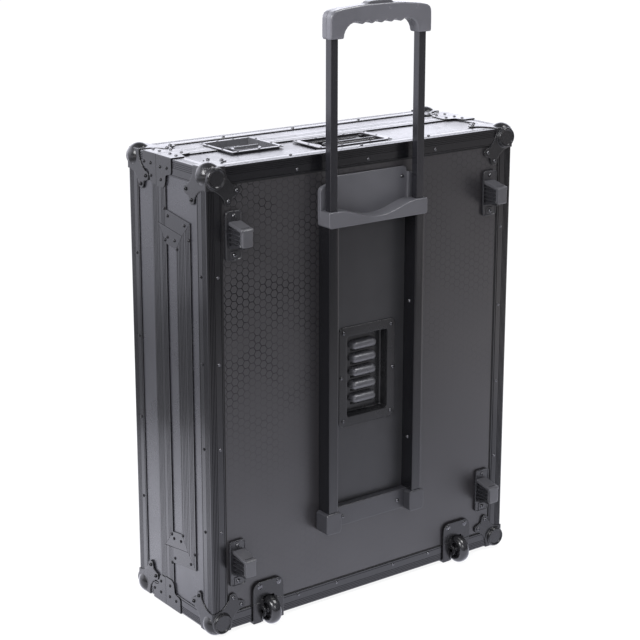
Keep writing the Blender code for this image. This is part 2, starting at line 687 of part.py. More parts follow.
def caster_bracket(name, case, side):
    """Build one caster housing: face plate, bottom plate, sunk box, two cheeks and the axle."""
    x = side * WHEEL_X
    half = 0.03165
    face = [(x - half, -0.0045), (x + half, -0.0045)]
    for edge in (1, -1):
        for step in range(5):
            angle = math.pi / 8 * step if edge > 0 else math.pi / 2 + math.pi / 8 * step
            centre_x = x + edge * (half - 0.014)
            face.append((centre_x + 0.014 * math.cos(angle), 0.0567 + 0.014 * math.sin(angle)))
    bracket = place(name, prism_mesh(face, "Y", -0.0040, -GAP), black_steel(), case)
    under = box_mesh((x - half + 0.0002, -0.0020, -0.0043), (x + half - 0.0002, 0.056, -0.0004))
    fuse(bracket, tool(name + "_under", case, under))
    cup = box_mesh((x - 0.0169, -0.0025, -0.0030), (x + 0.0169, 0.0234, 0.0484))
    fuse(bracket, tool(name + "_cup", case, cup))
    for edge in (-1, 1):
        start, end = sorted((x + edge * 0.0115, x + edge * 0.0165))
        profile = [(0.004, -0.0040), (0.004, 0.040), (-0.006, 0.037)]
        for step in range(7):
            angle = math.pi / 2 + math.pi * step / 6
            profile.append((-AXLE_PROUD + 0.009 * math.cos(angle), AXLE_HEIGHT + 0.009 * math.sin(angle)))
        profile.append((-0.0035, -0.0040))
        fuse(bracket, tool(f"{name}_cheek_{edge}", case, prism_mesh(profile, "X", start, end)))
    arch = [(x - 0.0125, -0.02), (x + 0.0125, -0.02), (x + 0.0125, 0.036)]
    arch += [(x + 0.0085, 0.044), (x - 0.0085, 0.044), (x - 0.0125, 0.036)]
    cut(bracket, tool(name + "_well", case, prism_mesh(arch, "Y", -0.030, 0.0219)))
    axle = rod_mesh((-AXLE_PROUD, AXLE_HEIGHT), 0.0035, "X", x - 0.0160, x + 0.0160, 16)
    fuse(bracket, tool(name + "_axle", case, axle))


def caster_wheel(name, case, side):
    """Turn one solid wheel about its axle."""
    pivot = (side * WHEEL_X, -AXLE_PROUD, AXLE_HEIGHT)
    holder = empty(name + "_axis", case, pivot)
    half = WHEEL_WIDTH / 2
    hub = [(0.0042, -half + 0.001), (0.0125, -half + 0.001), (0.0135, -half + 0.003), (0.0165, -half + 0.003)]
    tyre = [(0.0175, -half), (0.0215, -half + 0.0004), (0.0243, -half + 0.003),
            (WHEEL_RADIUS, -half + 0.0065)]
    profile = hub + tyre
    profile += [(radius, -x) for radius, x in reversed(profile)]
    mesh_data = bmesh.new()
    ring = [mesh_data.verts.new((x, radius, 0.0)) for radius, x in profile]
    edges = [mesh_data.edges.new((ring[i], ring[(i + 1) % len(ring)])) for i in range(len(ring))]
    bmesh.ops.spin(mesh_data, geom=ring + edges, cent=(0, 0, 0), axis=(1, 0, 0), steps=28,
                   angle=math.tau, use_merge=True)
    smooth(place(name, mesh_data, tyre_rubber(), holder))


def foams(case):
    """Build the two foam liners, each a tray with its pocket open towards the seam."""
    side = HALF_WIDTH - WALL_IN - GAP
    low_z = WALL_IN + GAP
    base_end = SEAM - LIP_DEPTH - 2 * GAP
    base_block = box_mesh((-side, WALL_IN + GAP, low_z), (side, base_end, CASE_HEIGHT - low_z))
    liner = place("base_foam", base_block, foam(), case)
    pocket = box_mesh((-0.275, 0.034, 0.055), (0.275, 0.30, 0.745))
    notch = box_mesh((-0.40, PANEL_FLOOR, 0.150), (-0.20, 0.30, 0.650))
    cut(liner, tool("base_pocket", case, pocket), tool("cable_notch", case, notch), vent_cutter(case, "foam"),
        *wheel_cutters(case, "foam"), handle_cutter(case, "foam"), *latch_cutters(case, "foam"))
    lid_start = SEAM + LIP_DEPTH + 2 * GAP
    lid_end = CASE_DEPTH - WALL_IN - GAP
    lid_block = box_mesh((-side, lid_start, low_z), (side, lid_end, CASE_HEIGHT - low_z))
    cover = place("lid_foam", lid_block, foam(), case)
    lid_pocket = box_mesh((-0.275, 0.10, 0.055), (0.275, lid_end - 0.020, 0.745))
    cut(cover, tool("lid_pocket", case, lid_pocket), *latch_cutters(case, "lid_foam"))


def latch_dish(name, holder):
    """Build the base half of a latch: a flanged recess that is open towards the seam."""
    ring_start = RING_BASE_START - GAP
    plate = box_mesh((-LATCH_HALF, LATCH_START, -SKIN), (LATCH_HALF, ring_start, FLANGE_TOP))
    dish = place(name, plate, black_steel(), holder)
    flange = box_mesh((-LATCH_HALF, ring_start - 0.004, FLANGE_LOW), (LATCH_HALF, SEAM_LOW, FLANGE_TOP))
    fuse(dish, tool(name + "_flange", holder, flange))
    pan_half = LATCH_HALF - LATCH_RIM + 0.0005
    pan = box_mesh((-pan_half, LATCH_START + LATCH_RIM - 0.0005, -LATCH_DEEP - PAN_SHEET),
                   (pan_half, SEAM_LOW, 0.001))
    fuse(dish, tool(name + "_pan", holder, pan))
    inner = pan_half - PAN_SHEET
    hollow = box_mesh((-inner, LATCH_START + LATCH_RIM + 0.0007, -LATCH_DEEP), (inner, SEAM + 0.01, 0.01))
    cut(dish, tool(name + "_hollow", holder, hollow))


def latch_strike(name, holder):
    """Build the lid half of a latch, with the bar that the hook lies over."""
    ring_end = RING_LID_END + GAP
    plate = box_mesh((-LATCH_HALF, ring_end, -SKIN), (LATCH_HALF, LATCH_END, FLANGE_TOP))
    strike = place(name, plate, black_steel(), holder)
    flange = box_mesh((-LATCH_HALF, SEAM_HIGH, FLANGE_LOW), (LATCH_HALF, ring_end + 0.004, FLANGE_TOP))
    fuse(strike, tool(name + "_flange", holder, flange))
    pan_half = LATCH_HALF - LATCH_RIM + 0.0005
    pan = box_mesh((-pan_half, SEAM_HIGH, -LATCH_DEEP - PAN_SHEET),
                   (pan_half, LATCH_END - LATCH_RIM + 0.0005, 0.001))
    fuse(strike, tool(name + "_pan", holder, pan))
    inner = pan_half - PAN_SHEET
    hollow = box_mesh((-inner, SEAM - 0.01, -LATCH_DEEP), (inner, LATCH_END - LATCH_RIM - 0.0007, 0.01))
    cut(strike, tool(name + "_hollow", holder, hollow))
    bar = box_mesh((-0.015, 0.157, -LATCH_DEEP - 0.0005), (0.015, 0.161, -0.0095))
    fuse(strike, tool(name + "_bar", holder, bar))


def latch_wing(name, holder):
    """Build the turning part of a latch: a drum with two folded butterfly wings."""
    pivot = empty(name + "_axis", holder, (0.0, WING_Y, 0.0))
    wing = place(name, rod_mesh((0, 0), 0.0115, "Z", -LATCH_DEEP + GAP, -0.004, 20), black_steel(), pivot)
    outline = []
    for lobe in (0, 1):
        for step in range(7):
            angle = math.pi * (lobe - 0.5) + math.pi * step / 6
            reach = 0.016 if lobe == 0 else -0.016
            outline.append((reach + 0.011 * math.cos(angle), 0.011 * math.sin(angle)))
    fuse(wing, tool(name + "_plate", pivot, prism_mesh(outline, "Z", -0.0045, -0.0025)))
    fuse(wing, tool(name + "_ridge", pivot, box_mesh((-0.024, -0.0012, -0.003), (0.024, 0.0012, 0.0030))))


def latch_hook(name, holder):
    """Build the hook that the drum's cam drives across the seam."""
    outline = [(-0.009, 0.1310), (0.009, 0.1310), (0.009, 0.155), (0.014, 0.158), (0.014, 0.1660),
               (-0.014, 0.1660), (-0.014, 0.158), (-0.009, 0.155)]
    place(name, prism_mesh(outline, "Z", -0.0090, -0.0060), black_steel(), holder, (0.0, WING_Y, 0.0))


def latches(case):
    for name, turn, spot in LATCHES:
        holder = empty(f"latch_{name}_place", case, (spot[0], 0.0, spot[1]), turn)
        latch_dish(f"latch_{name}_dish", holder)
        latch_wing(f"latch_{name}_wing", holder)
        latch_hook(f"latch_{name}_hook", holder)
        latch_strike(f"latch_{name}_strike", holder)


def recessed_handle(case):
    """Build the top handle: a dish let into the wall and a bail that folds flat in it."""
    holder = empty("handle_place", case, (0.0, 0.0, CASE_HEIGHT))
    outline = rounded((-DISH_HALF, DISH_START), (DISH_HALF, DISH_END), 0.006, 3)
    flange = prism_mesh(outline, "Z", -SKIN, 0.0002)
    dish = place("handle_dish", flange, black_steel(), holder)
    pan_half = DISH_HALF - 0.012
    pan_low = DISH_START + 0.007
    pan_high = DISH_END - 0.003
    pan = box_mesh((-pan_half, pan_low, -DISH_DEEP - PAN_SHEET), (pan_half, pan_high, -0.001))
    fuse(dish, tool("handle_pan", holder, pan))
    inner = pan_half - PAN_SHEET
    hollow = box_mesh((-inner, pan_low + PAN_SHEET, -DISH_DEEP), (inner, pan_high - PAN_SHEET, 0.01))
    cut(dish, tool("handle_hollow", holder, hollow))
    for side in (-1, 1):
        low, high = sorted((side * 0.0575, side * (inner + 0.0005)))
        knuckle = box_mesh((low, BAIL_Y - 0.0055, -0.0125), (high, pan_high - 0.0005, -0.0005))
        fuse(dish, tool(f"handle_knuckle_{side}", holder, knuckle))
    pivot_point = (0.0, BAIL_Y, -BAIL_DOWN)
    pivot = empty("handle_bail_axis", holder, pivot_point)
    drop = GRIP_BAR_Y - BAIL_Y
    bail = place("handle_bail", rod_mesh((0.0, 0.0), 0.0042, "X", -0.0570, 0.0570, 16), black_steel(), pivot)
    for side in (-1, 1):
        low, high = sorted((side * 0.0445, side * 0.0525))
        arm = box_mesh((low, drop, -0.0030), (high, 0.002, 0.0030))
        fuse(bail, tool(f"bail_arm_{side}", pivot, arm))
    fuse(bail, tool("bail_grip", pivot, rod_mesh((drop, 0.0), 0.0085, "X", -0.0535, 0.0535, 20)))
    smooth(bail)


def trolley_tube(name, holder, x):
    """Build one sliding tube, from inside its rail up into the grip."""
    low = (x - TUBE_WIDTH / 2, -TUBE_FAR, TUBE_LOW)
    high = (x + TUBE_WIDTH / 2, -TUBE_NEAR, GRIP_LOW + SOCKET)
    tube = place(name, box_mesh(low, high), black_metal(), holder, (x, -(TUBE_NEAR + TUBE_FAR) / 2, GRIP_LOW))
    soften(tube, 0.002, 2)


def grip_outline():
    """Return the grip's outline in x and z: a bar with two legs and finger waves below."""
    right = [(0.107, 1.026), (0.104, 1.0335), (0.097, 1.0372), (0.067, 1.0398), (0.033, 1.0430)]
    top = right + mirrored(right)
    leg_left = [(-0.108, 1.020), (-0.1085, GRIP_LOW), (-0.0745, GRIP_LOW), (-0.0715, 1.001), (-0.066, 1.008),
                (-0.056, 1.0142)]
    waves = []
    count = 20
    for step in range(count + 1):
        x = -0.050 + 0.100 * step / count
        waves.append((x, 1.0135 + 0.0016 * math.cos(math.tau * (x + 0.050) / 0.020)))
    return top + leg_left + waves + mirrored(leg_left)


def trolley_grip(holder):
    """Build the grip, with sockets for the tubes and a slot for the release button."""
    middle = (0.0, -(TUBE_NEAR + TUBE_FAR) / 2, GRIP_LOW)
    body = prism_mesh(grip_outline(), "Y", -0.0355, -0.0090)
    grip = place("trolley_grip", body, grey_plastic(), holder, middle)
    soften(grip, 0.0045, 2, 50.0)
    for side in (-1, 1):
        half = TUBE_WIDTH / 2 + GAP
        low = (side * RAIL_X - half, -TUBE_FAR - GAP, GRIP_LOW - 0.01)
        high = (side * RAIL_X + half, -TUBE_NEAR + GAP, GRIP_LOW + SOCKET + GAP)
        cut(grip, tool(f"grip_socket_{side}", holder, box_mesh(low, high)))
    slot = box_mesh((-0.0305, -0.0300, 1.0325), (0.0305, -0.0145, 1.060))
    cut(grip, tool("grip_slot", holder, slot))
    smooth(grip)


def release_button(holder):
    outline = [(-0.030, 1.0375), (0.030, 1.0375), (0.030, 1.0475), (0.022, 1.0462),
               (-0.022, 1.0462), (-0.030, 1.0475)]
    button = place("release_button", prism_mesh(outline, "Y", -0.0296, -0.0149), rubber(), holder,
                   (0.0, -0.02225, 1.0425))
    soften(button, 0.001, 1)


def trolley(case):
    """Build the fixed and the sliding parts of the trolley."""
    for side, label in ((-1, "left"), (1, "right")):
        trolley_rail(f"trolley_rail_{label}", case, side * RAIL_X)
    trolley_backing(case)
    upper_bracket(case)
    lower_bracket(case)
    slide = empty("trolley_slide", case)
    for side, label in ((-1, "left"), (1, "right")):
        trolley_tube(f"trolley_tube_{label}", slide, side * RAIL_X)
    trolley_grip(slide)
    release_button(slide)


def casters(case):
    for side, label in ((-1, "left"), (1, "right")):
        caster_bracket(f"caster_bracket_{label}", case, side)
        caster_wheel(f"caster_wheel_{label}", case, side)


def build():
    remove_all()
    middle_y = (CASE_DEPTH + BOSS_PROUD - FOOT_PROUD) / 2
    case = empty("case", None, (0.0, -middle_y, BALL_PROUD))
    base_boards(case)
    lid_boards(case)
    edge_frame("base_edge_frame", case, 0.0, RING_BASE_START - GAP)
    edge_frame("lid_edge_frame", case, CASE_DEPTH, RING_LID_END + GAP)
    cut(bpy.data.objects["base_edge_frame"], *wheel_cutters(case, "edge"))
    base_seam_frame(case)
    lid_seam_frame(case)
    access_panel(case)
    ball_corners(case)
    rubber_feet(case)
    vent_dish(case)
    trolley(case)
    casters(case)
    foams(case)
    latches(case)
    recessed_handle(case)


build()
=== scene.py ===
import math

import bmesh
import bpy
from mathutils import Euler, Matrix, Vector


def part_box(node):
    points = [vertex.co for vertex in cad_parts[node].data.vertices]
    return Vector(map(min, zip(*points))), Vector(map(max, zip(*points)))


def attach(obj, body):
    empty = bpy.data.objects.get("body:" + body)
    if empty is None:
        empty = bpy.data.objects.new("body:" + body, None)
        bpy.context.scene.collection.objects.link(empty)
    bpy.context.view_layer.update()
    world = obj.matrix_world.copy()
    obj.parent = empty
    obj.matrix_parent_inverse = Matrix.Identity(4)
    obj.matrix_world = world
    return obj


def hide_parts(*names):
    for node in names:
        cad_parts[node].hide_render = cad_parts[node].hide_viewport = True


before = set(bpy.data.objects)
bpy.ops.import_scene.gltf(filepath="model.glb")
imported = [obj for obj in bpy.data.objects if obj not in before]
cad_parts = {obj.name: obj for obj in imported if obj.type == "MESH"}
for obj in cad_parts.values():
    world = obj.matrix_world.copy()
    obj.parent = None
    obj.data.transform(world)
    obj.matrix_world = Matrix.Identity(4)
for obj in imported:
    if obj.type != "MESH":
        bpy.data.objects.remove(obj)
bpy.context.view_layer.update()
# %% [markdown]
# # A wheeled flight case
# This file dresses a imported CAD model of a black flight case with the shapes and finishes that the
# solids leave out: ribs, rivets, rounded edges, an embossed laminate. It is a lesson in cells. Each
# step starts with a note on the real part, then short code that builds it.
#
# All of the case's numbers are in the case's own coordinates, in metres. x runs across from the
# middle, y runs inwards from the back face that carries the trolley, and z runs up from the bottom
# face. One shift at the end of each step takes a piece to its place in the world.

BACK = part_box("base_edge_frame")[0].y
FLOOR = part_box("base_edge_frame")[0].z
HALF_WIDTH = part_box("base_edge_frame")[1].x
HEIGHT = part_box("base_edge_frame")[1].z - FLOOR
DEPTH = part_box("lid_edge_frame")[1].y - BACK
SEAM = 0.148
print("case", [round(size, 4) for size in (2 * HALF_WIDTH, DEPTH, HEIGHT)])
print("its back at", round(BACK, 4), "and its foot at", round(FLOOR, 4))

# %% [markdown]
# ## Camera
# The photograph was taken from about three metres with a long lens, so the edges converge only a
# little. The camera is set by the way it looks from the object: an azimuth, an elevation, a slight
# roll and a distance. From these, the three axes of the camera are vectors that can be worked out.
# The picture is part of a wider one, so its middle isn't where the lens points: a small shift says so.

# %% Camera at the photograph's angle
AZIMUTH, ELEVATION, ROLL = math.radians(-37.38), math.radians(14.84), math.radians(0.31)
DISTANCE = 3.107
AIM = Vector((0.0535, 0.016, 0.5595))
LENS_MM = 97.82
FRAME_SHIFT = (-0.0469, -0.0781)
level_way = Vector((math.sin(AZIMUTH), -math.cos(AZIMUTH), 0.0))
back_way = level_way * math.cos(ELEVATION) + Vector((0.0, 0.0, math.sin(ELEVATION)))
right_way = Vector((math.cos(AZIMUTH), math.sin(AZIMUTH), 0.0))
up_way = back_way.cross(right_way)
right_axis = right_way * math.cos(ROLL) + up_way * math.sin(ROLL)
up_axis = up_way * math.cos(ROLL) - right_way * math.sin(ROLL)
lens = bpy.data.cameras.new("photo_camera")
lens.lens = LENS_MM
lens.sensor_width = 36.0
lens.shift_x, lens.shift_y = FRAME_SHIFT
camera = bpy.data.objects.new("photo_camera", lens)
camera_turn = Matrix((right_axis, up_axis, back_way)).transposed().to_4x4()
camera.matrix_world = Matrix.Translation(AIM + back_way * DISTANCE) @ camera_turn
bpy.context.collection.objects.link(camera)
bpy.context.scene.camera = camera
bpy.context.scene.view_settings.view_transform = "Standard"
print("camera at", [round(v, 3) for v in camera.matrix_world.translation])

# %% [markdown]
# ## Shader maths
# A material is a network of nodes. Writing it as Python expressions is easier to read than linking
# nodes one by one, so a small class wraps a node's output and adds a Math node for each sign. A
# second class holds one material and makes any other node from its type, settings and inputs.

# %% A wrapped socket and a material that is built with it
class Value:
    def __init__(self, finish, socket):
        self.finish = finish
        self.socket = socket

    def maths(self, operation, first, second=None):
        inputs = {0: first} if second is None else {0: first, 1: second}
        return self.finish.node("ShaderNodeMath", {"operation": operation}, inputs)

    def __add__(self, other):
        return self.maths("ADD", self, other)

    def __radd__(self, other):
        return self.maths("ADD", other, self)

    def __sub__(self, other):
        return self.maths("SUBTRACT", self, other)

    def __rsub__(self, other):
        return self.maths("SUBTRACT", other, self)

    def __mul__(self, other):
        return self.maths("MULTIPLY", self, other)

    def __rmul__(self, other):
        return self.maths("MULTIPLY", other, self)

    def __truediv__(self, other):
        return self.maths("DIVIDE", self, other)

    def smallest(self, other):
        return self.maths("MINIMUM", self, other)

    def largest(self, other):
        return self.maths("MAXIMUM", self, other)

    def size(self):
        return self.maths("ABSOLUTE", self)

    def wrapped(self, period):
        return self.finish.node("ShaderNodeMath", {"operation": "FLOORED_MODULO"}, {0: self, 1: period})

    def clamped(self):
        return self.finish.node("ShaderNodeClamp", {}, {"Value": self})

    def step_up(self, low, high, to_low=0.0, to_high=1.0):
        settings = {"interpolation_type": "SMOOTHSTEP"}
        inputs = {"Value": self, "From Min": low, "From Max": high, "To Min": to_low, "To Max": to_high}
        return self.finish.node("ShaderNodeMapRange", settings, inputs)


class Finish:
    def __init__(self, name, world=None):
        if world:
            self.material = None
            self.tree = world.node_tree
            return
        self.material = bpy.data.materials.new(name)
        self.material.use_nodes = True
        self.tree = self.material.node_tree
        self.shader = self.tree.nodes["Principled BSDF"]

    def node(self, kind, settings, inputs, output=0):
        made = self.tree.nodes.new(kind)
        for key, value in settings.items():
            setattr(made, key, value)
        for key, value in inputs.items():
            if isinstance(value, Value):
                self.tree.links.new(value.socket, made.inputs[key])
            else:
                made.inputs[key].default_value = value
        return Value(self, made.outputs[output])

    def spot(self):
        return self.node("ShaderNodeTexCoord", {}, {}, "Object")

    def worn(self, low, high):
        """Return 1 on sharp outer edges, where handling rubs a finish."""
        return self.node("ShaderNodeNewGeometry", {}, {}, "Pointiness").step_up(low, high)

    def axes(self, vector):
        split = self.node("ShaderNodeSeparateXYZ", {}, {"Vector": vector})
        return [Value(self, split.socket.node.outputs[i]) for i in range(3)]

    def noise(self, vector, scale, detail=2.0, roughness=0.5):
        inputs = {"Vector": vector, "Scale": scale, "Detail": detail, "Roughness": roughness}
        return self.node("ShaderNodeTexNoise", {}, inputs, "Fac")

    def mixed(self, factor, first, second):
        """Mix two colours, given as triples or sockets."""
        inputs = {}
        for key, value in (("A", first), ("B", second)):
            inputs[key] = value if isinstance(value, Value) else (*value, 1.0)
        made = self.tree.nodes.new("ShaderNodeMix")
        made.data_type = "RGBA"
        sockets = {"Factor": made.inputs[0], "A": made.inputs[6], "B": made.inputs[7]}
        inputs["Factor"] = factor
        for key, value in inputs.items():
            if isinstance(value, Value):
                self.tree.links.new(value.socket, sockets[key])
            else:
                sockets[key].default_value = value
        return Value(self, made.outputs[2])

    def bump(self, height, distance, strength):
        inputs = {"Height": height, "Distance": distance, "Strength": strength}
        return self.node("ShaderNodeBump", {}, inputs)

    def feed(self, **links):
        """Link or set inputs of the shader; an underscore stands for a blank."""
        for key, value in links.items():
            socket = self.shader.inputs[key.replace("_", " ")]
            if isinstance(value, Value):
                self.tree.links.new(value.socket, socket)
            elif isinstance(value, tuple):
                socket.default_value = (*value, 1.0)
            else:
                socket.default_value = value
        return self.material


print("shader helpers ready")

# %% [markdown]
# ## Finishes
# The case is black all over, so its look comes from gloss, not colour. Nearly every finish varies in
# roughness, as handled surfaces do, and has a fine bump at its own scale: the grain of powder coat,
# the drawn lines of an aluminium extrusion, the pebble of moulded plastic.

# %% Smooth laminate, for the walls
def handled(finish, low, high, scale=9.0):
    """Return a roughness that drifts between two values, as fingermarks and rubbing leave it."""
    cloud = finish.noise(finish.spot(), scale, 4.0, 0.6)
    streaks = finish.noise(finish.spot(), scale * 14.0, 2.0)
    return (cloud * 0.75 + streaks * 0.25).step_up(0.35, 0.65, low, high)


def smooth_laminate():
    finish = Finish("smooth_laminate")
    grain = finish.noise(finish.spot(), 420.0, 2.0)
    cloud = finish.noise(finish.spot(), 6.0).step_up(0.3, 0.7)
    tint = finish.mixed(cloud, (0.012, 0.012, 0.0145), (0.017, 0.017, 0.020))
    return finish.feed(Base_Color=tint, Roughness=handled(finish, 0.24, 0.34), IOR=1.55,
                       Normal=finish.bump(grain, 0.0002, 0.25))


SMOOTH_LAMINATE = smooth_laminate()

# %% [markdown]
# The big panels carry a fine pattern of hexagons pressed into the laminate. A hexagon tiling needs no
# picture: two copies of a rectangular lattice, one moved by half a cell, hold all the centres, and the
# distance to the nearer centre, measured across the flats, gives the sunk lines between the cells.
# The lines are painted dark as shade in the grooves, with their reflection turned off, and they fade to the
# right and towards the bottom, where the light hardly brings them out.

# %% Laminate with pressed hexagons
FLATS = 0.0131


def hexagon_lines(finish, across, along):
    """Return 0 in the middle of each cell and 1 on the lines between cells."""
    width = FLATS * math.sqrt(3.0)

    def from_centre(shift_u, shift_v):
        u = ((across + shift_u).wrapped(width) - width / 2).size()
        v = ((along + shift_v).wrapped(FLATS) - FLATS / 2).size()
        return v.largest(u * (math.sqrt(3.0) / 2) + v * 0.5)

    near = from_centre(0.0, 0.0).smallest(from_centre(width / 2, FLATS / 2))
    return near / (FLATS / 2)


def hexagon_laminate():
    finish = Finish("hexagon_laminate")
    x, _, z = finish.axes(finish.spot())
    reach = hexagon_lines(finish, x, z)
    # Painted light: the relief and the painted shade in its grooves thin out to the right and towards the
    # bottom, as the light falls, with random patches.
    relief_and_shade_left = (x * -1.0).step_up(-0.05, 0.25, 0.15, 0.85)
    relief_and_shade_above = z.step_up(0.25, 0.60, 0.08, 1.0)
    patches = finish.noise(finish.spot(), 14.0, 3.0).step_up(0.35, 0.62, 0.25, 1.0)
    deep = relief_and_shade_left * relief_and_shade_above * patches
    groove = reach.step_up(0.80, 0.95) * deep
    pebble = finish.noise(finish.spot(), 620.0, 2.0)
    height = pebble * 0.30 - groove
    # Painted shade: the grooves get a near-black colour, and Metallic with that dark colour takes away their
    # reflection.
    tint = finish.mixed(groove, (0.015, 0.014, 0.0155), (0.003, 0.003, 0.0035))
    return finish.feed(Base_Color=tint, Roughness=handled(finish, 0.32, 0.40), Metallic=groove * 0.95,
                       IOR=1.55, Normal=finish.bump(height, 0.0007, 0.7))


HEXAGON_LAMINATE = hexagon_laminate()

# %% Anodised aluminium, powder-coated steel and dark screw heads
def anodised_profile(name, along, shade=0.006):
    """Satin black metal with fine drawn lines; along stretches the noise down the bar."""
    finish = Finish(name)
    drawn = finish.node("ShaderNodeMapping", {}, {"Vector": finish.spot(), "Scale": along})
    lines = finish.noise(drawn, 60.0, 3.0, 0.7)
    rubbed = finish.worn(0.62, 0.80) * finish.noise(finish.spot(), 35.0, 3.0).step_up(0.45, 0.65)
    tint = finish.mixed(rubbed, (shade, shade, shade * 1.2), (0.09, 0.09, 0.095))
    rough = handled(finish, 0.15, 0.22) + lines * 0.04
    return finish.feed(Base_Color=tint, Roughness=rough, Metallic=0.3, IOR=1.6,
                       Normal=finish.bump(lines, 0.00010, 0.15))


TUBE = anodised_profile("tube_upright", (1.0, 1.0, 0.05), 0.013)
PROFILE_X = anodised_profile("profile_across", (0.05, 1.0, 1.0))
PROFILE_Y = anodised_profile("profile_inwards", (1.0, 0.05, 1.0))
PROFILE_Z = anodised_profile("profile_upright", (1.0, 1.0, 0.05))


def powder_coat(name, low, high, tint_low=0.012, tint_high=0.017):
    finish = Finish(name)
    orange_peel = finish.noise(finish.spot(), 650.0, 2.0)
    rubbed = finish.worn(0.62, 0.80) * finish.noise(finish.spot(), 40.0, 3.0).step_up(0.5, 0.7)
    plain = finish.mixed(finish.noise(finish.spot(), 30.0), (tint_low, tint_low, tint_low * 1.08),
                         (tint_high, tint_high, tint_high * 1.08))
    tint = finish.mixed(rubbed, plain, (0.11, 0.11, 0.115))
    return finish.feed(Base_Color=tint, Roughness=handled(finish, low, high, 20.0), Metallic=0.35,
                       Normal=finish.bump(orange_peel, 0.00025, 0.22))


STEEL = powder_coat("powder_coated_steel", 0.20, 0.28)
POLISHED = powder_coat("polished_black_steel", 0.21, 0.25, 0.007, 0.010)
# A lighter copy of the black steel: its pale colour paints the sheen that the latches show.
LATCH_STEEL_PAINTED_SHEEN = powder_coat("latch_steel_painted_sheen", 0.24, 0.32, 0.085, 0.110)
# A lighter copy of the black steel for the scoops: its pale colour paints the sheen along their crowns.
VENT_STEEL_PAINTED_SHEEN = powder_coat("vent_steel_painted_sheen", 0.26, 0.34, 0.070, 0.090)
BACKING_SHEET = powder_coat("matt_backing_sheet", 0.34, 0.42, 0.020, 0.026)


def screw_metal(name, dark, pale):
    finish = Finish(name)
    scuffs = finish.noise(finish.spot(), 900.0, 2.0)
    rough = scuffs.step_up(0.3, 0.7, 0.12, 0.22)
    tint = finish.mixed(scuffs.step_up(0.5, 0.75), (dark, dark, dark * 1.07), (pale, pale, pale))
    return finish.feed(Base_Color=tint, Roughness=rough, Metallic=0.9, IOR=1.6,
                       Normal=finish.bump(scuffs, 0.0001, 0.1))


SCREW = screw_metal("black_screw", 0.075, 0.18)
# A darker copy of the screw metal, for heads on the sides of the case: painted shade.
SHADED_RIVET = screw_metal("rivet_painted_shade", 0.010, 0.030)

# %% Moulded plastic and rubber
def moulded(name, colour, low, high, grain=700.0, depth=0.00025, pale=1.35):
    finish = Finish(name)
    pebble = finish.noise(finish.spot(), grain, 3.0, 0.6)
    cloud = finish.noise(finish.spot(), 14.0, 3.0)
    rubbed = finish.worn(0.58, 0.75)
    plain = finish.mixed(cloud.step_up(0.35, 0.65), colour, tuple(v * 1.12 for v in colour))
    tint = finish.mixed(rubbed * 0.6, plain, tuple(v * pale for v in colour))
    return finish.feed(Base_Color=tint, Roughness=handled(finish, low, high, 22.0) - rubbed * 0.06,
                       Normal=finish.bump(pebble, depth, 0.35))


GREY_PLASTIC = moulded("grey_plastic", (0.072, 0.072, 0.080), 0.20, 0.28, 900.0, 0.00015)
LIP_PLASTIC = moulded("bracket_plastic", (0.052, 0.052, 0.058), 0.34, 0.42)
# A darker copy of the bracket plastic, for the lower bracket: painted shade.
SHADED_BRACKET_PLASTIC = moulded("bracket_plastic_painted_shade", (0.018, 0.018, 0.021), 0.36, 0.44)
BUTTON_PLASTIC = moulded("button_plastic", (0.060, 0.060, 0.066), 0.26, 0.34)
FOOT_RUBBER = moulded("foot_rubber", (0.014, 0.014, 0.016), 0.26, 0.36)
# A paler copy of the foot rubber, for each foot's roof and tip.
TIP_RUBBER = moulded("paler_foot_rubber", (0.040, 0.040, 0.044), 0.28, 0.38)
TYRE = moulded("tyre_rubber", (0.010, 0.010, 0.011), 0.17, 0.24, 500.0, 0.00010)
BLACK_FOAM = moulded("black_foam", (0.012, 0.012, 0.013), 0.92, 0.98, 1400.0, 0.0008)
print("finishes", len(bpy.data.materials))

# %% [markdown]
# ## Boards
# The plywood boards of the CAD model already have the right shape, so they stay as they are and only
# get a finish. The two big panels get the hexagons; the walls are smooth in the photograph.

# %% Finishes for the parts that stay
def refinish(finish, *nodes):
    """Give CAD parts a finish in place of their plain CAD colour."""
    for name in nodes:
        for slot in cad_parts[name].material_slots:
            slot.material = finish
    print(finish.name, "on", len(nodes), "parts")


refinish(HEXAGON_LAMINATE, "base_back_panel", "lid_panel")
refinish(SMOOTH_LAMINATE, "base_wall_access_side", "base_wall_front", "base_wall_top", "base_wall_bottom",
         "lid_walls", "access_panel_board")

# %% [markdown]
# ## Ways to make and place a shape
# Nearly every part here is a flat outline drawn out along one axis, a bar, or a profile spun about an
# axis. Each of the next helpers starts from a few points and lets a bmesh operator do the rest. The
# last one moves the finished shape into the world, smooths it by angle and lets it ride on its body.

# %% Helpers for shapes
AXES = {"X": Vector((1, 0, 0)), "Y": Vector((0, 1, 0)), "Z": Vector((0, 0, 1))}
LAY_ON_X = Matrix(((0, 0, 1, 0), (1, 0, 0, 0), (0, 1, 0, 0), (0, 0, 0, 1)))
LAY_ON_Y = Matrix(((1, 0, 0, 0), (0, 0, 1, 0), (0, -1, 0, 0), (0, 0, 0, 1)))


def slab(points, sweep):
    """Fill a closed outline of 3-D points and draw it out along a vector."""
    shape = bmesh.new()
    face = shape.faces.new([shape.verts.new(point) for point in points])
    grown = bmesh.ops.extrude_face_region(shape, geom=[face])
    far_verts = [item for item in grown["geom"] if isinstance(item, bmesh.types.BMVert)]
    bmesh.ops.translate(shape, vec=sweep, verts=far_verts)
    bmesh.ops.recalc_face_normals(shape, faces=shape.faces)
    return shape


def plate(outline, axis, start, end):
    """Draw out an outline given in the two other axes between two places on axis."""
    points = {"X": [(start, u, v) for u, v in outline],
              "Y": [(u, start, v) for u, v in outline],
              "Z": [(u, v, start) for u, v in outline]}[axis]
    return slab(points, AXES[axis] * (end - start))


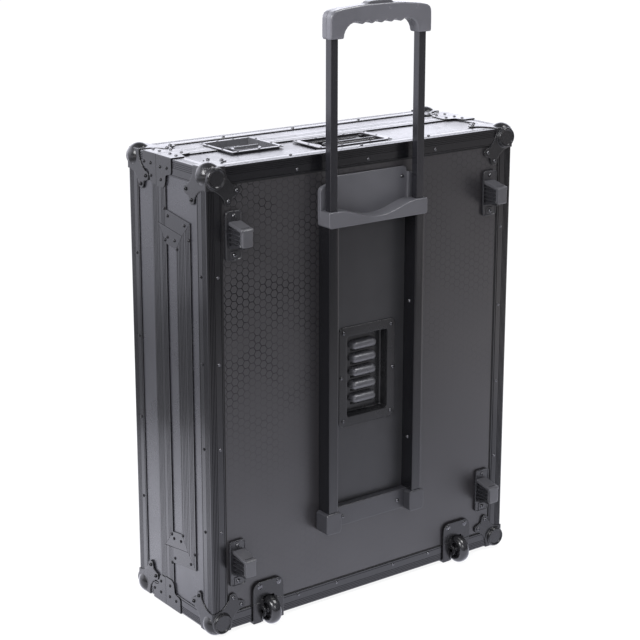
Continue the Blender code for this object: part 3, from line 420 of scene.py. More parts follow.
def block(low, high):
    shape = bmesh.new()
    low, high = Vector(low), Vector(high)
    stretch = Matrix.Diagonal((*(high - low), 1.0))
    bmesh.ops.create_cube(shape, size=1.0, matrix=Matrix.Translation((low + high) / 2) @ stretch)
    return shape


def rod(middle, radius, axis, start, end, sides=24):
    turn = {"X": Euler((0, math.pi / 2, 0)), "Y": Euler((math.pi / 2, 0, 0)), "Z": Euler((0, 0, 0))}[axis]
    u, v = middle
    half = (start + end) / 2
    centre = {"X": (half, u, v), "Y": (u, half, v), "Z": (u, v, half)}[axis]
    shape = bmesh.new()
    bmesh.ops.create_cone(shape, cap_ends=True, segments=sides, radius1=radius, radius2=radius,
                          depth=abs(end - start),
                          matrix=Matrix.Translation(centre) @ turn.to_matrix().to_4x4())
    return shape


def turned(profile, steps=24):
    """Spin a profile of (radius, height) points about the Z axis."""
    shape = bmesh.new()
    ring = [shape.verts.new((radius, 0.0, height)) for radius, height in profile]
    edges = [shape.edges.new(pair) for pair in zip(ring, ring[1:])]
    bmesh.ops.spin(shape, geom=ring + edges, cent=(0, 0, 0), axis=(0, 0, 1), steps=steps, angle=math.tau,
                   use_merge=True)
    bmesh.ops.remove_doubles(shape, verts=shape.verts, dist=1e-6)
    bmesh.ops.recalc_face_normals(shape, faces=shape.faces)
    return shape


def skin(rings):
    """Draw a closed loop of points out through the next loops, and fill the last one."""
    shape = bmesh.new()
    verts = [shape.verts.new(point) for point in rings[0]]
    edges = [shape.edges.new((verts[i - 1], verts[i])) for i in range(len(verts))]
    for old, new in zip(rings, rings[1:]):
        grown = bmesh.ops.extrude_edge_only(shape, edges=edges)["geom"]
        verts = [item for item in grown if isinstance(item, bmesh.types.BMVert)]
        edges = [item for item in grown if isinstance(item, bmesh.types.BMEdge)]
        edges = [edge for edge in edges if all(vert in verts for vert in edge.verts)]
        for vert in verts:
            vert.co = new[min(range(len(old)), key=lambda i: (vert.co - Vector(old[i])).length)]
    bmesh.ops.contextual_create(shape, geom=edges)
    bmesh.ops.recalc_face_normals(shape, faces=shape.faces)
    return shape


def facing(shape, way):
    """Turn a shell over if its largest face looks away from a direction."""
    if max(shape.faces, key=lambda face: face.calc_area()).normal.dot(Vector(way)) < 0:
        bmesh.ops.reverse_faces(shape, faces=shape.faces)
    return shape


def cut_off(shape, spot, outer_way):
    """Remove what lies beyond a plane and return what the operator says about the cut."""
    everything = list(shape.verts) + list(shape.edges) + list(shape.faces)
    return bmesh.ops.bisect_plane(shape, geom=everything, plane_co=spot, plane_no=outer_way, clear_outer=True)


def bevelled(shape, edges, width, segments):
    """Bevel chosen edges, with the settings that the editor would use."""
    bmesh.ops.bevel(shape, geom=edges, offset=width, offset_type="OFFSET", segments=segments, profile=0.5,
                    affect="EDGES", material=-1, clamp_overlap=True)
    return shape


def round_off(shape, width, segments=2, degrees=35.0):
    """Bevel the edges that are sharper than an angle."""
    limit = math.radians(degrees)
    sharp = [e for e in shape.edges if len(e.link_faces) == 2 and e.calc_face_angle(0.0) > limit]
    return bevelled(shape, sharp, width, segments)


def arc(middle, radius, first, last, steps):
    """Return the points of an arc between two angles in degrees."""
    points = []
    for step in range(steps + 1):
        angle = math.radians(first + (last - first) * step / steps)
        points.append((middle[0] + radius * math.cos(angle), middle[1] + radius * math.sin(angle)))
    return points


def rounded(low, high, radius, steps=5):
    """Return the outline of a rectangle with round corners."""
    left, right = low[0] + radius, high[0] - radius
    bottom, top = low[1] + radius, high[1] - radius
    points = []
    for quarter, middle in enumerate(((right, top), (left, top), (left, bottom), (right, bottom))):
        points += arc(middle, radius, 90.0 * quarter, 90.0 * quarter + 90.0, steps)
    return points


def moved(shape, matrix):
    bmesh.ops.transform(shape, matrix=matrix, verts=shape.verts)
    if matrix.determinant() < 0:
        bmesh.ops.reverse_faces(shape, faces=shape.faces)
    return shape


def gather(target, *shapes):
    """Add the meshes of other shapes to a target, and free them."""
    for shape in shapes:
        kept = bpy.data.meshes.new("loan")
        shape.to_mesh(kept)
        target.from_mesh(kept)
        bpy.data.meshes.remove(kept)
        shape.free()
    return target


def place(name, shape, finish, body, replaces=(), degrees=35.0):
    """Move a shape from the case's coordinates into the world and make it a piece of its body."""
    bmesh.ops.translate(shape, vec=(0.0, BACK, FLOOR), verts=shape.verts)
    mesh = bpy.data.meshes.new(name)
    shape.to_mesh(mesh)
    shape.free()
    mesh.materials.append(finish)
    mesh.shade_smooth()
    mesh.set_sharp_from_angle(angle=math.radians(degrees))
    piece = bpy.data.objects.new(name, mesh)
    bpy.context.collection.objects.link(piece)
    flat = piece.modifiers.new("flat_faces", "WEIGHTED_NORMAL")
    flat.keep_sharp = True
    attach(piece, body)
    if replaces:
        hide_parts(*replaces)
    print(name, len(mesh.polygons), "faces on", body)
    return piece

# %% [markdown]
# ## Ribbed angle sections
# Aluminium angles protect every edge of the two halves. Their section has an L shape with a few
# shallow grooves near the corner and a plain strip where the screws go. The section is drawn once in
# two coordinates, the distances along its two legs, and drawn out along each of sixteen edges.

# %% The section and its sixteen lengths
LEG = 0.029
SHEET = 0.0015
GROOVES = (0.0045, 0.0075, 0.0105, 0.0135)
GROOVE_HALF = 0.0007
GROOVE_DEEP = 0.0008
WHEEL_NOTCHES = ((-0.2295, -0.1951), (0.1951, 0.2295))
PLATE_COVER = 0.0300


def grooved(start, end, places, half=GROOVE_HALF, deep=GROOVE_DEEP):
    """Return (distance, depth) points along a surface with grooves at the given places."""
    points = [(start, 0.0)]
    for spot in places:
        points += [(spot - half, 0.0), (spot - half * 0.5, deep)]
        points += [(spot + half * 0.5, deep), (spot + half, 0.0)]
    return points + [(end, 0.0)]


def angle_outline():
    outer = grooved(0.0012, LEG - 0.0006, GROOVES + (LEG - 0.0030,))
    first = [(u, depth) for u, depth in reversed(outer)]
    second = [(depth, v) for v, depth in outer]
    nose = [(0.00035, 0.00035)]
    tips = [(0.0006, LEG), (SHEET - 0.0002, LEG), (SHEET, LEG), (SHEET, SHEET), (LEG, SHEET),
            (LEG, SHEET - 0.0002), (LEG, 0.0006)]
    return first + nose + second + tips


def angle_length(corner, first_way, second_way, sweep):
    """Draw the section out from a corner; the two ways point along its legs."""
    first_way, second_way = Vector(first_way), Vector(second_way)
    points = [Vector(corner) + first_way * a + second_way * b for a, b in angle_outline()]
    return slab(points, Vector(sweep))


def spans(start, end, gaps):
    """Return the stretches between two places that are left beside the gaps."""
    stretches, place_now = [], start
    for low, high in sorted(gaps):
        stretches.append((place_now, low))
        place_now = high
    return stretches + [(place_now, end)]


def angle_frame(face_y, end_y):
    """Return shapes of the angles across, inwards and upright round one half."""
    inward = 1.0 if end_y > face_y else -1.0
    across, inwards, upright = bmesh.new(), bmesh.new(), bmesh.new()
    wide = 2 * (HALF_WIDTH - PLATE_COVER)
    tall = HEIGHT - 2 * PLATE_COVER
    for low in (True, False):
        z, up = (0.0, 1.0) if low else (HEIGHT, -1.0)
        for left, right in spans(-wide / 2, wide / 2, WHEEL_NOTCHES if low and inward > 0 else ()):
            corner, run = (left, face_y, z), (right - left, 0, 0)
            gather(across, angle_length(corner, (0, 0, up), (0, inward, 0), run))
        for side in (-1.0, 1.0):
            run = end_y - face_y - inward * PLATE_COVER
            corner = (side * HALF_WIDTH, face_y + inward * PLATE_COVER, z)
            gather(inwards, angle_length(corner, (-side, 0, 0), (0, 0, up), (0, run, 0)))
    for side in (-1.0, 1.0):
        corner = (side * HALF_WIDTH, face_y, PLATE_COVER)
        gather(upright, angle_length(corner, (-side, 0, 0), (0, inward, 0), (0, 0, tall)))
    return across, inwards, upright


for half, face_y, end_y in (("base", 0.0, 0.1221), ("lid", DEPTH, 0.1653)):
    across, inwards, upright = angle_frame(face_y, end_y)
    place(half + "_angles_across", across, PROFILE_X, half, (half + "_edge_frame",))
    place(half + "_angles_inwards", inwards, PROFILE_Y, half)
    place(half + "_angles_upright", upright, PROFILE_Z, half)

# %% [markdown]
# ## Closing profiles
# Where lid and base meet, a flat extrusion runs round each half and a tongue inside it guides the
# other half home. On the -X side the base's profile parts to make room for a removable panel, and a
# frame of the same extrusion goes round that opening, with slanted ends. A straight band is drawn out
# from its grooved section, and a plane trims it wherever it meets a slanted neighbour.

# %% Bands of closing profile
BAND_PROUD = 0.0004
BAND_THICK = 0.0019
SEAM_GAP = 0.00015
BASE_BAND = (0.1224, SEAM - SEAM_GAP)
LID_BAND = (SEAM + SEAM_GAP, 0.165)
TONGUE_IN = 0.018
TONGUE_REACH = 0.306
TONGUE_ROUND = 0.0006
LATCH_GAP_HALF = 0.0475
LATCH_SPOTS = (("top", "Z", 1, -0.1675), ("bottom", "Z", -1, -0.1675),
               ("front_low", "X", 1, 0.210), ("front_high", "X", 1, 0.590))


def band(origin, across, outward, run, grooves, width):
    """Draw out a flat grooved section; across leads over its width, run is its length."""
    across, outward = Vector(across).normalized(), Vector(outward)
    outer = grooved(0.0003, width - 0.0003, grooves, 0.0006, 0.0006)
    outline = outer + [(width, 0.0003), (width, BAND_THICK), (0.0, BAND_THICK), (0.0, 0.0003)]
    return slab([Vector(origin) + across * u - outward * depth for u, depth in outline], Vector(run))


def trimmed(shape, spot, outer_way):
    """Cut off what lies beyond a plane and close the cut."""
    cut = cut_off(shape, spot, outer_way)["geom_cut"]
    rim = [item for item in cut if isinstance(item, bmesh.types.BMEdge)]
    bmesh.ops.contextual_create(shape, geom=rim)
    return shape


def latch_gaps(face_axis, sign):
    """Return the stretches that the latches take out of the band on one face."""
    spots = [spot for _, axis, way, spot in LATCH_SPOTS if axis == face_axis and way == sign]
    return [(spot - LATCH_GAP_HALF, spot + LATCH_GAP_HALF) for spot in spots]


def closing_bands(y_start, y_end, grooves, tongue, skip_access):
    """Return shapes of the bands across and upright round one half, with their tongues."""
    width = y_end - y_start
    across_bands, upright_bands = bmesh.new(), bmesh.new()
    for sign, z in ((1, HEIGHT + BAND_PROUD), (-1, -BAND_PROUD)):
        outer, inner = z - sign * 0.002, z - sign * TONGUE_IN
        for low, high in spans(-HALF_WIDTH + 0.001, HALF_WIDTH - 0.001, latch_gaps("Z", sign)):
            bar = band((low, y_start, z), (0, 1, 0), (0, 0, sign), (high - low, 0, 0), grooves, width)
            lip = block((max(low, -TONGUE_REACH), tongue[0], min(inner, outer)),
                        (min(high, TONGUE_REACH), tongue[1], max(inner, outer)))
            gather(across_bands, bar, round_off(lip, TONGUE_ROUND))
    for sign in (-1, 1):
        x = sign * (HALF_WIDTH + BAND_PROUD)
        outer, inner = x - sign * 0.002, x - sign * TONGUE_IN
        at_opening = sign < 0 and skip_access
        gaps = [(0.130, HEIGHT - 0.130)] if at_opening else latch_gaps("X", sign)
        for low, high in spans(0.001, HEIGHT - 0.001, gaps):
            bar = band((x, y_start, low), (0, 1, 0), (sign, 0, 0), (0, 0, high - low), grooves, width)
            lip = block((min(inner, outer), tongue[0], max(low, 0.002)),
                        (max(inner, outer), tongue[1], min(high, HEIGHT - 0.002)))
            gather(bar, round_off(lip, TONGUE_ROUND))
            if at_opening:
                lower = low < 0.4
                bar = trimmed(bar, slant_spot(0.122, lower, -0.0004), slant_normal(lower))
            gather(upright_bands, bar)
    return across_bands, upright_bands


# %% The slanted joint of the access panel
JOINT_Y, JOINT_Z, JOINT_SLOPE = 0.119, 0.1163, 0.14
OPENING_START = 0.0495
PANEL_START = 0.0744
STRIP = 0.0285
PLAY = 0.0004


def slant_spot(y, lower, beyond=0.0):
    """Return a point on the slanted joint; beyond moves it from the joint into the panel."""
    z = JOINT_Z + (JOINT_Y - y) * JOINT_SLOPE + beyond
    return Vector((-HALF_WIDTH, y, z if lower else HEIGHT - z))


def slant_normal(lower):
    """Return the direction from the end of the case towards the access panel."""
    return Vector((0.0, JOINT_SLOPE, 1.0 if lower else -1.0)).normalized()


def slanted_band(lower, start_y, end_y, from_joint, width, grooves):
    """Make a band along the joint, its near edge at a distance from the joint, trimmed at two depths."""
    face = Vector((-BAND_PROUD, 0, 0))
    first = slant_spot(start_y - 0.01, lower) + face + slant_normal(lower) * from_joint
    last = slant_spot(end_y + 0.01, lower) + face + slant_normal(lower) * from_joint
    shape = band(first, slant_normal(lower), (-1, 0, 0), last - first, grooves, width)
    bmesh.ops.recalc_face_normals(shape, faces=shape.faces)
    trimmed(shape, (0, start_y, 0), (0, -1, 0))
    return trimmed(shape, (0, end_y, 0), (0, 1, 0))


def mitred(shape, outer, inner, waste_way):
    """Cut a bar's end along the line from its outer to its inner corner; waste_way points to what goes."""
    normal = (inner - outer).cross(Vector((1, 0, 0))).normalized()
    if normal.dot(Vector(waste_way)) < 0:
        normal = -normal
    return trimmed(shape, outer - normal * 0.0002, normal)


# %% The base's frame, with the fixed frame round the opening
BRACE_NEAR, BRACE_FAR = 0.0003, 0.0018
BASE_GROOVES = (0.0045, 0.0085, 0.0125, 0.0225)
LID_GROOVES = (0.0035, 0.0075, 0.0115)
FIXED_GROOVES = (0.0045, 0.0085, 0.0125, 0.0200)
base_across, base_upright = closing_bands(*BASE_BAND, BASE_GROOVES, (SEAM - 0.008, SEAM - 0.0002), True)
lid_across, lid_upright = closing_bands(*LID_BAND, LID_GROOVES, (SEAM + 0.0002, SEAM + 0.008), False)
outside = -HALF_WIDTH - BAND_PROUD
fixed_bar = band((outside, OPENING_START, 0.08), (0, 1, 0), (-1, 0, 0), (0, 0, 0.64), FIXED_GROOVES, 0.0243)
for lower in (True, False):
    up = 1 if lower else -1
    outer, inner = slant_spot(OPENING_START, lower, -STRIP), slant_spot(0.0738, lower)
    mitred(fixed_bar, outer, inner, (0, 1, -up))
    slanted = slanted_band(lower, OPENING_START, 0.1222, -STRIP, STRIP - 0.0002, ())
    gather(base_upright, mitred(slanted, outer, inner, (0, -1, up)))
gather(base_upright, fixed_bar)

BASE_BRACE = ((-0.0012, BASE_BAND[1]), (0.052, BASE_BAND[1]), (0.052, 0.131), (0.0515, 0.1275),
              (0.0485, 0.1235), (0.046, 0.1215), (0.0405, 0.1200), (0.032, 0.1190), (0.0298, 0.1175),
              (0.0286, 0.1140), (0.0272, 0.1068), (0.0262, 0.1040), (0.0238, 0.1018), (0.021, 0.101),
              (-0.0012, 0.101))
LID_BRACE = ((-0.0012, LID_BAND[0]), (0.050, LID_BAND[0]), (0.050, 0.160), (0.0495, 0.163),
             (0.0465, 0.1665), (0.044, 0.168), (0.0385, 0.1697), (0.031, 0.1710), (0.0286, 0.1725),
             (0.0275, 0.1755), (0.0257, 0.1830), (0.0245, 0.1862), (0.0225, 0.1882), (0.0195, 0.189),
             (-0.0012, 0.189))


def braces(outline):
    """Make the four folded corner braces of one half, each with a side and an end leaf."""
    shape = bmesh.new()
    for side in (-1, 1):
        x_near, x_far = side * (HALF_WIDTH + BRACE_NEAR), side * (HALF_WIDTH + BRACE_FAR)
        for high in (False, True):
            z_near, z_far = (HEIGHT + BRACE_NEAR, HEIGHT + BRACE_FAR) if high else (-BRACE_NEAR, -BRACE_FAR)
            side_leaf = [(y, HEIGHT - e if high else e) for e, y in outline]
            end_leaf = [(side * (HALF_WIDTH - e), y) for e, y in outline]
            gather(shape, round_off(plate(side_leaf, "X", x_near, x_far), 0.0005),
                   round_off(plate(end_leaf, "Z", z_near, z_far), 0.0005))
    return shape


for half, across, upright, outline in (("base", base_across, base_upright, BASE_BRACE),
                                       ("lid", lid_across, lid_upright, LID_BRACE)):
    place(half + "_closing_across", across, PROFILE_X, half, (half + "_closing_frame",))
    place(half + "_closing_upright", upright, PROFILE_Z, half)
    place(half + "_braces", braces(outline), STEEL, half)

# %% The frame on the removable panel
def panel_bar(start_y, grooves, width):
    """Make an upright bar of the panel's frame, longer than it ends up."""
    return band((outside, start_y, 0.10), (0, 1, 0), (-1, 0, 0), (0, 0, 0.60), grooves, width)


low_bar = panel_bar(PANEL_START, (0.0045, 0.0085, 0.0145), 0.0186)
high_bar = panel_bar(BASE_BAND[0], BASE_GROOVES, BASE_BAND[1] - BASE_BAND[0])
panel_frame = bmesh.new()
for lower in (True, False):
    up = 1 if lower else -1
    slanted = slanted_band(lower, PANEL_START, BASE_BAND[1], PLAY, STRIP - 0.0002, ())
    for bar, outer_y, inner_y, side in ((low_bar, PANEL_START, 0.0930, 1),
                                        (high_bar, BASE_BAND[1], BASE_BAND[0], -1)):
        outer, inner = slant_spot(outer_y, lower, PLAY), slant_spot(inner_y, lower, STRIP)
        mitred(bar, outer, inner, (0, side, -up))
        mitred(slanted, outer, inner, (0, -side, up))
    gather(panel_frame, slanted)
tongue_block = block((outside + 0.002, SEAM - 0.0078, 0.10), (outside + TONGUE_IN, SEAM - 0.0004, 0.70))
for lower in (True, False):
    trimmed(tongue_block, slant_spot(0.144, lower, 0.0008), -slant_normal(lower))
gather(panel_frame, low_bar, high_bar, round_off(tongue_block, TONGUE_ROUND))
place("access_panel_bars", panel_frame, PROFILE_Z, "access_panel", ("access_panel_frame",))

# %% [markdown]
# ## Ball corners
# A ball corner is pressed from one sheet of steel, so its ball flows into its three plates without an
# edge. Overlapping solids are melted together with a voxel remesh and relaxed with a smoothing
# modifier, which gives that soft fillet. The round disc that the case lies on is a spun ring. One
# corner is made with its edges along the axes, and mirrored copies of it go to all eight places.

# %% One pressed corner
BALL_RADIUS = 0.0203
BALL_CENTRE = 0.0130
POLISH_OVER = 0.0007
LOBE_RADIUS = 0.0078
DISC_SPOT = 0.0163
DISC_LEVEL = -0.0064


def lobe_outline():
    """Return a plate's outline from the case's corner: a square with two round lobes on its diagonal."""
    flank = [(-0.0010, 0.005), (-0.0010, 0.036), (0.0075, 0.0362), (0.0180, 0.0395), (0.0268, 0.0468)]
    lobes = arc((0.0405, 0.0570), LOBE_RADIUS, 195.0, 15.0, 8) + [(0.0505, 0.0505)]
    lobes += arc((0.0570, 0.0405), LOBE_RADIUS, 75.0, -105.0, 8)
    return flank + lobes + [(v, u) for u, v in reversed(flank)]


def evaluated(shape, name, *steps):
    """Run modifiers, given as (type, settings), on a shape and return the result as a new bmesh."""
    mesh = bpy.data.meshes.new(name)
    shape.to_mesh(mesh)
    shape.free()
    holder = bpy.data.objects.new(name, mesh)
    bpy.context.collection.objects.link(holder)
    for kind, settings in steps:
        modifier = holder.modifiers.new(kind.title(), kind)
        for key, value in settings.items():
            setattr(modifier, key, value)
    graph = bpy.context.evaluated_depsgraph_get()
    result = bmesh.new()
    result.from_mesh(holder.evaluated_get(graph).to_mesh())
    holder.evaluated_get(graph).to_mesh_clear()
    bpy.data.objects.remove(holder)
    bpy.data.meshes.remove(mesh)
    return result


def pressed_corner():
    """Melt a ball, three plates and a disc into one pressing and drop what the case hides."""
    shape = bmesh.new()
    bmesh.ops.create_uvsphere(shape, u_segments=48, v_segments=24, radius=BALL_RADIUS,
                              matrix=Matrix.Translation((BALL_CENTRE,) * 3))
    for axis in "XYZ":
        gather(shape, plate(lobe_outline(), axis, -BRACE_FAR, 0.0012))
    gather(shape, rod((DISC_SPOT, DISC_SPOT), 0.0182, "Y", DISC_LEVEL, 0.001, 40))
    shape = evaluated(shape, "melted", ("REMESH", {"mode": "VOXEL", "voxel_size": 0.00085}),
                      ("SMOOTH", {"factor": 0.5, "iterations": 6}))
    hidden = [v for v in shape.verts if min(v.co) > 0.0006]
    bmesh.ops.delete(shape, geom=hidden, context="VERTS")
    for vert in shape.verts:
        vert.co.y = max(vert.co.y, DISC_LEVEL)
    return shape


def polished_corner():
    """Make the clean ball and the round disc that take the wear and the sharpest reflections."""
    shape = bmesh.new()
    bmesh.ops.create_uvsphere(shape, u_segments=56, v_segments=28, radius=BALL_RADIUS + POLISH_OVER,
                              matrix=Matrix.Translation((BALL_CENTRE,) * 3))
    cut_off(shape, (0, DISC_LEVEL + 0.0003, 0), (0, -1, 0))
    hidden = [v for v in shape.verts if min(v.co) > 0.0020]
    bmesh.ops.delete(shape, geom=hidden, context="VERTS")
    section = [(0.0, 0.0002), (0.0120, 0.0002), (0.0130, -0.0001), (0.0142, -0.0015), (0.0155, -0.0021),
               (0.0167, -0.0016), (0.0176, -0.0002), (0.0180, 0.0020)]
    rim = turned([(radius, DISC_LEVEL + height) for radius, height in section], 48)
    return gather(shape, moved(rim, Matrix.Translation((DISC_SPOT, 0.0, DISC_SPOT)) @ LAY_ON_Y))


corner_shape, ball_shape = pressed_corner(), polished_corner()
print("pressed corner", len(corner_shape.faces), "faces, polished", len(ball_shape.faces))


def corners_of(half, one_corner):
    shape = bmesh.new()
    y_place, y_way = (0.0, 1.0) if half == "base" else (DEPTH, -1.0)
    for side in (-1, 1):
        for z_place, z_way in ((0.0, 1.0), (HEIGHT, -1.0)):
            mirror = Matrix.Diagonal((-side, y_way, z_way, 1.0))
            place_there = Matrix.Translation((side * HALF_WIDTH, y_place, z_place)) @ mirror
            gather(shape, moved(one_corner.copy(), place_there))
    return shape


for half in ("base", "lid"):
    labels = [(side, level) for side in ("left", "right") for level in ("bottom", "top")]
    nodes = [f"{half}_ball_corner_{side}_{level}" for side, level in labels]
    place(half + "_ball_corners", corners_of(half, corner_shape), STEEL, half, nodes, 50.0)
    place(half + "_balls", corners_of(half, ball_shape), POLISHED, half, (), 50.0)
corner_shape.free()
ball_shape.free()

# %% [markdown]
# ## Screws and rivets
# A black case gets its sparkle from its fasteners: each low dome throws back a point of light. One
# rivet and one screw are spun from a few points, the screw with a small hollow for the driver. Each
# place is a point and the direction that its head faces, and many heads are gathered in one piece.

# %% Heads and the way to set them
def rivet_head(radius=0.0029, height=0.0020):
    """Spin a plain low dome."""
    dome = ((0.98, 0.25), (0.84, 0.64), (0.50, 0.92))
    return turned([(radius, -0.0004)] + [(radius * r, height * h) for r, h in dome] + [(0.0, height)], 12)


def screw_head(radius=0.0034, height=0.0026):
    """Spin a dome with a hollow for the driver."""
    dome = ((0.97, 0.32), (0.85, 0.66), (0.64, 0.90), (0.40, 1.0), (0.28, 0.50), (0.0, 0.40))
    return turned([(radius, -0.0004)] + [(radius * r, height * h) for r, h in dome], 14)


def set_heads(target, head, spots):
    """Copy a head to each (point, outward) and free the first one."""
    for point, outward in spots:
        turn = Vector(outward).to_track_quat("Z", "Y").to_matrix().to_4x4()
        gather(target, moved(head.copy(), Matrix.Translation(point) @ turn))
    head.free()
    return target


# %% Rivets of the two halves
LEVELS = (0.1795, 0.3265, 0.4735, 0.6205)


def edge_heads(face_y, leg_y, out_y):
    """Return the places of the heads in the angle sections of one half."""
    spots = [((x, face_y, HEIGHT - 0.021), (0, out_y, 0)) for x in (-0.147, 0.0, 0.147)]
    spots += [((x, face_y, 0.023), (0, out_y, 0)) for x in (-0.147, -0.064, 0.064, 0.147)]
    for z in LEVELS:
        for side in (-1, 1):
            spots.append(((side * 0.304, face_y, z), (0, out_y, 0)))
            spots.append(((side * HALF_WIDTH, leg_y, z), (side, 0, 0)))
    for x in (-0.147, 0.0, 0.147):
        spots.append(((x, leg_y, HEIGHT), (0, 0, 1)))
        spots.append(((x, leg_y, 0.0), (0, 0, -1)))
    return spots


def brace_heads(places):
    """Return the places of the heads on both leaves of four braces, from (y, distance from the end)."""
    spots = []
    for y, e in places:
        for side in (-1, 1):
            for z, end_z, up in ((e, -BRACE_FAR, -1), (HEIGHT - e, HEIGHT + BRACE_FAR, 1)):
                spots.append(((side * (HALF_WIDTH + BRACE_FAR), y, z), (side, 0, 0)))
                spots.append(((side * (HALF_WIDTH - e), y, end_z), (0, 0, up)))
    return spots


def corner_heads(half):
    """Return the places of the two screws on each plate of four ball corners."""
    spots = []
    face_y, y_way = (0.0, 1.0) if half == "base" else (DEPTH, -1.0)
    for side in (-1, 1):
        for face_z, z_way in ((0.0, 1.0), (HEIGHT, -1.0)):
            for a, b in ((0.0565, 0.0405), (0.0405, 0.0565)):
                x, y, z = side * (HALF_WIDTH - a), face_y + y_way * a, face_z + z_way * b
                spots.append(((x, face_y - y_way * BRACE_FAR, z), (0, -y_way, 0)))
                spots.append(((side * (HALF_WIDTH + BRACE_FAR), y, z), (side, 0, 0)))
                spots.append(((side * (HALF_WIDTH - b), y, face_z - z_way * BRACE_FAR), (0, 0, -z_way)))
    return spots


base_rivets = edge_heads(0.0, 0.019, -1) + brace_heads(((0.1355, 0.018), (0.134, 0.039), (0.115, 0.017)))
for y, e in ((0.117, 0.097), (0.066, 0.104), (0.053, 0.126), (0.1265, 0.086)):
    base_rivets += [((outside, y, z), (-1, 0, 0)) for z in (e, HEIGHT - e)]
lid_rivets = edge_heads(DEPTH, 0.219, 1) + brace_heads(((0.165, 0.016), (0.164, 0.037), (0.186, 0.0165)))
for half, rivets in (("base", base_rivets), ("lid", lid_rivets)):
    corner_screws = corner_heads(half)
    # Heads on the sides take the darker rivet metal, which paints their shade.
    side_heads = set_heads(bmesh.new(), rivet_head(), [spot for spot in rivets if spot[1][0] != 0])
    set_heads(side_heads, screw_head(), [spot for spot in corner_screws if spot[1][0] != 0])
    place(half + "_side_fasteners", side_heads, SHADED_RIVET, half)
    heads = set_heads(bmesh.new(), rivet_head(), [spot for spot in rivets if spot[1][0] == 0])
    set_heads(heads, screw_head(), [spot for spot in corner_screws if spot[1][0] == 0])
    place(half + "_fasteners", heads, SCREW, half)
panel_rivets = []
for y, e in ((0.126, 0.139), (0.119, 0.133), (0.097, 0.135), (0.090, 0.148)):
    panel_rivets += [((outside, y, z), (-1, 0, 0)) for z in (e, HEIGHT - e)]
panel_heads = set_heads(bmesh.new(), rivet_head(), panel_rivets)
# These heads on the side take the darker rivet metal, which paints their shade.
place("access_panel_rivets", panel_heads, SHADED_RIVET, "access_panel")

# %% [markdown]
# ## Rubber feet
# Four tall feet carry the case when it lies on its back. Each is one rubber moulding: a plate with a
# raised rim, a sloped roof, a thick tip that touches the floor, and thin fins between them with deep
# gaps that save rubber. The solids are bevelled bars, and their edges catch the light.

# %% One foot and its four places
def foot_shape(x, z):
    side = -1 if x < 0 else 1
    middle = x - side * 0.002
    outline = rounded((x - 0.0155, z - 0.041), (x + 0.0155, z + 0.041), 0.0055)
    shape = round_off(plate(outline, "Y", -0.0022, 0.0012), 0.0008)
    rim = plate(outline, "Y", -0.0034, -0.0015)
    front = min(rim.faces, key=lambda face: face.calc_center_median().y)
    bmesh.ops.inset_region(rim, faces=[front], thickness=0.0016, depth=0.0)
    bmesh.ops.inset_region(rim, faces=[front], thickness=0.0010, depth=-0.0014)
    gather(shape, round_off(rim, 0.0005, 2))
    keel = [(-0.0015, z - 0.021), (-0.0015, z - 0.016), (-0.0340, z - 0.009), (-0.0360, z - 0.0125)]
    gather(shape, round_off(plate(keel, "X", middle - 0.0112, middle + 0.0112), 0.0009))
    gather(shape, block((middle - 0.0075, -0.0330, z - 0.0170), (middle + 0.0075, -0.0015, z + 0.0180)))
    for rib in range(4):
        level = z + 0.0125 - 0.0072 * rib
        fin = block((middle - 0.0113, -0.0325, level - 0.0010), (middle + 0.0113, -0.0015, level + 0.0010))
        gather(shape, round_off(fin, 0.0005, 1))
    seat = round_off(block((x - 0.0075, -0.0036, z - 0.0385), (x + 0.0075, -0.0015, z - 0.0250)), 0.0006)
    return gather(shape, seat)


def foot_tip(x, z):
    middle = x + (0.002 if x < 0 else -0.002)
    roof = [(-0.0015, z + 0.018), (-0.0015, z + 0.024), (-0.0390, z + 0.0165), (-0.0390, z + 0.0115)]
    shape = round_off(plate(roof, "X", middle - 0.0118, middle + 0.0118), 0.0011, 3)
    tip = block((middle - 0.0098, -0.040, z - 0.0130), (middle + 0.0098, -0.0310, z + 0.0160))
    return gather(shape, round_off(tip, 0.0016, 3))


feet_screws = []
for side, label in ((-1, "left"), (1, "right")):
    for z, level in ((0.118, "low"), (0.686, "high")):
        x = side * 0.2737
        name = f"rubber_foot_{label}_{level}"
        place(name + "_moulding", foot_shape(x, z), FOOT_RUBBER, "base", (name,), 45.0)
        place(name + "_tip", foot_tip(x, z), TIP_RUBBER, "base", (), 45.0)
        feet_screws += [((x, -0.0023, z + 0.0325), (0, -1, 0)), ((x, -0.0038, z - 0.0320), (0, -1, 0))]

# %% [markdown]
# ## Vent
# A pressed dish sunk into the back panel lets warm air out through five scoops. Its flange has a soft edge
# and its floor lies deep. Each scoop is the upper part of a long egg, cut off below where the slot is, so the
# light runs along its crown. The scoops take a lighter copy of the black steel, a painted sheen, and a dead
# black block in the slot under each paints the shade there.

# %% Flange, dish and scoops
VENT_Z = 0.4018
VENT_DEEP = 0.0158
SCOOP_PITCH = 0.0243
SCOOP_LEVELS = [VENT_Z + (number - 2) * SCOOP_PITCH for number in range(5)]


def vent_shape():
    rings = []
    for out, y, radius in ((0.0178, 0.0006, 0.010), (0.0178, -0.0012, 0.010), (0.0170, -0.0019, 0.0095),
                           (0.0018, -0.0019, 0.006), (0.0006, -0.0015, 0.0050), (0.0, -0.0004, 0.0045),
                           (-0.0008, 0.0050, 0.004), (-0.0010, VENT_DEEP - 0.0035, 0.004),
                           (-0.0016, VENT_DEEP - 0.0015, 0.0035), (-0.0032, VENT_DEEP - 0.0002, 0.0025),
                           (-0.0044, VENT_DEEP, 0.002)):
        low, high = (-0.0437 - out, VENT_Z - 0.0723 - out), (0.0437 + out, VENT_Z + 0.0723 + out)
        rings.append([(u, y, v) for u, v in rounded(low, high, radius, 6)])
    return facing(skin(rings), (0, -1, 0))


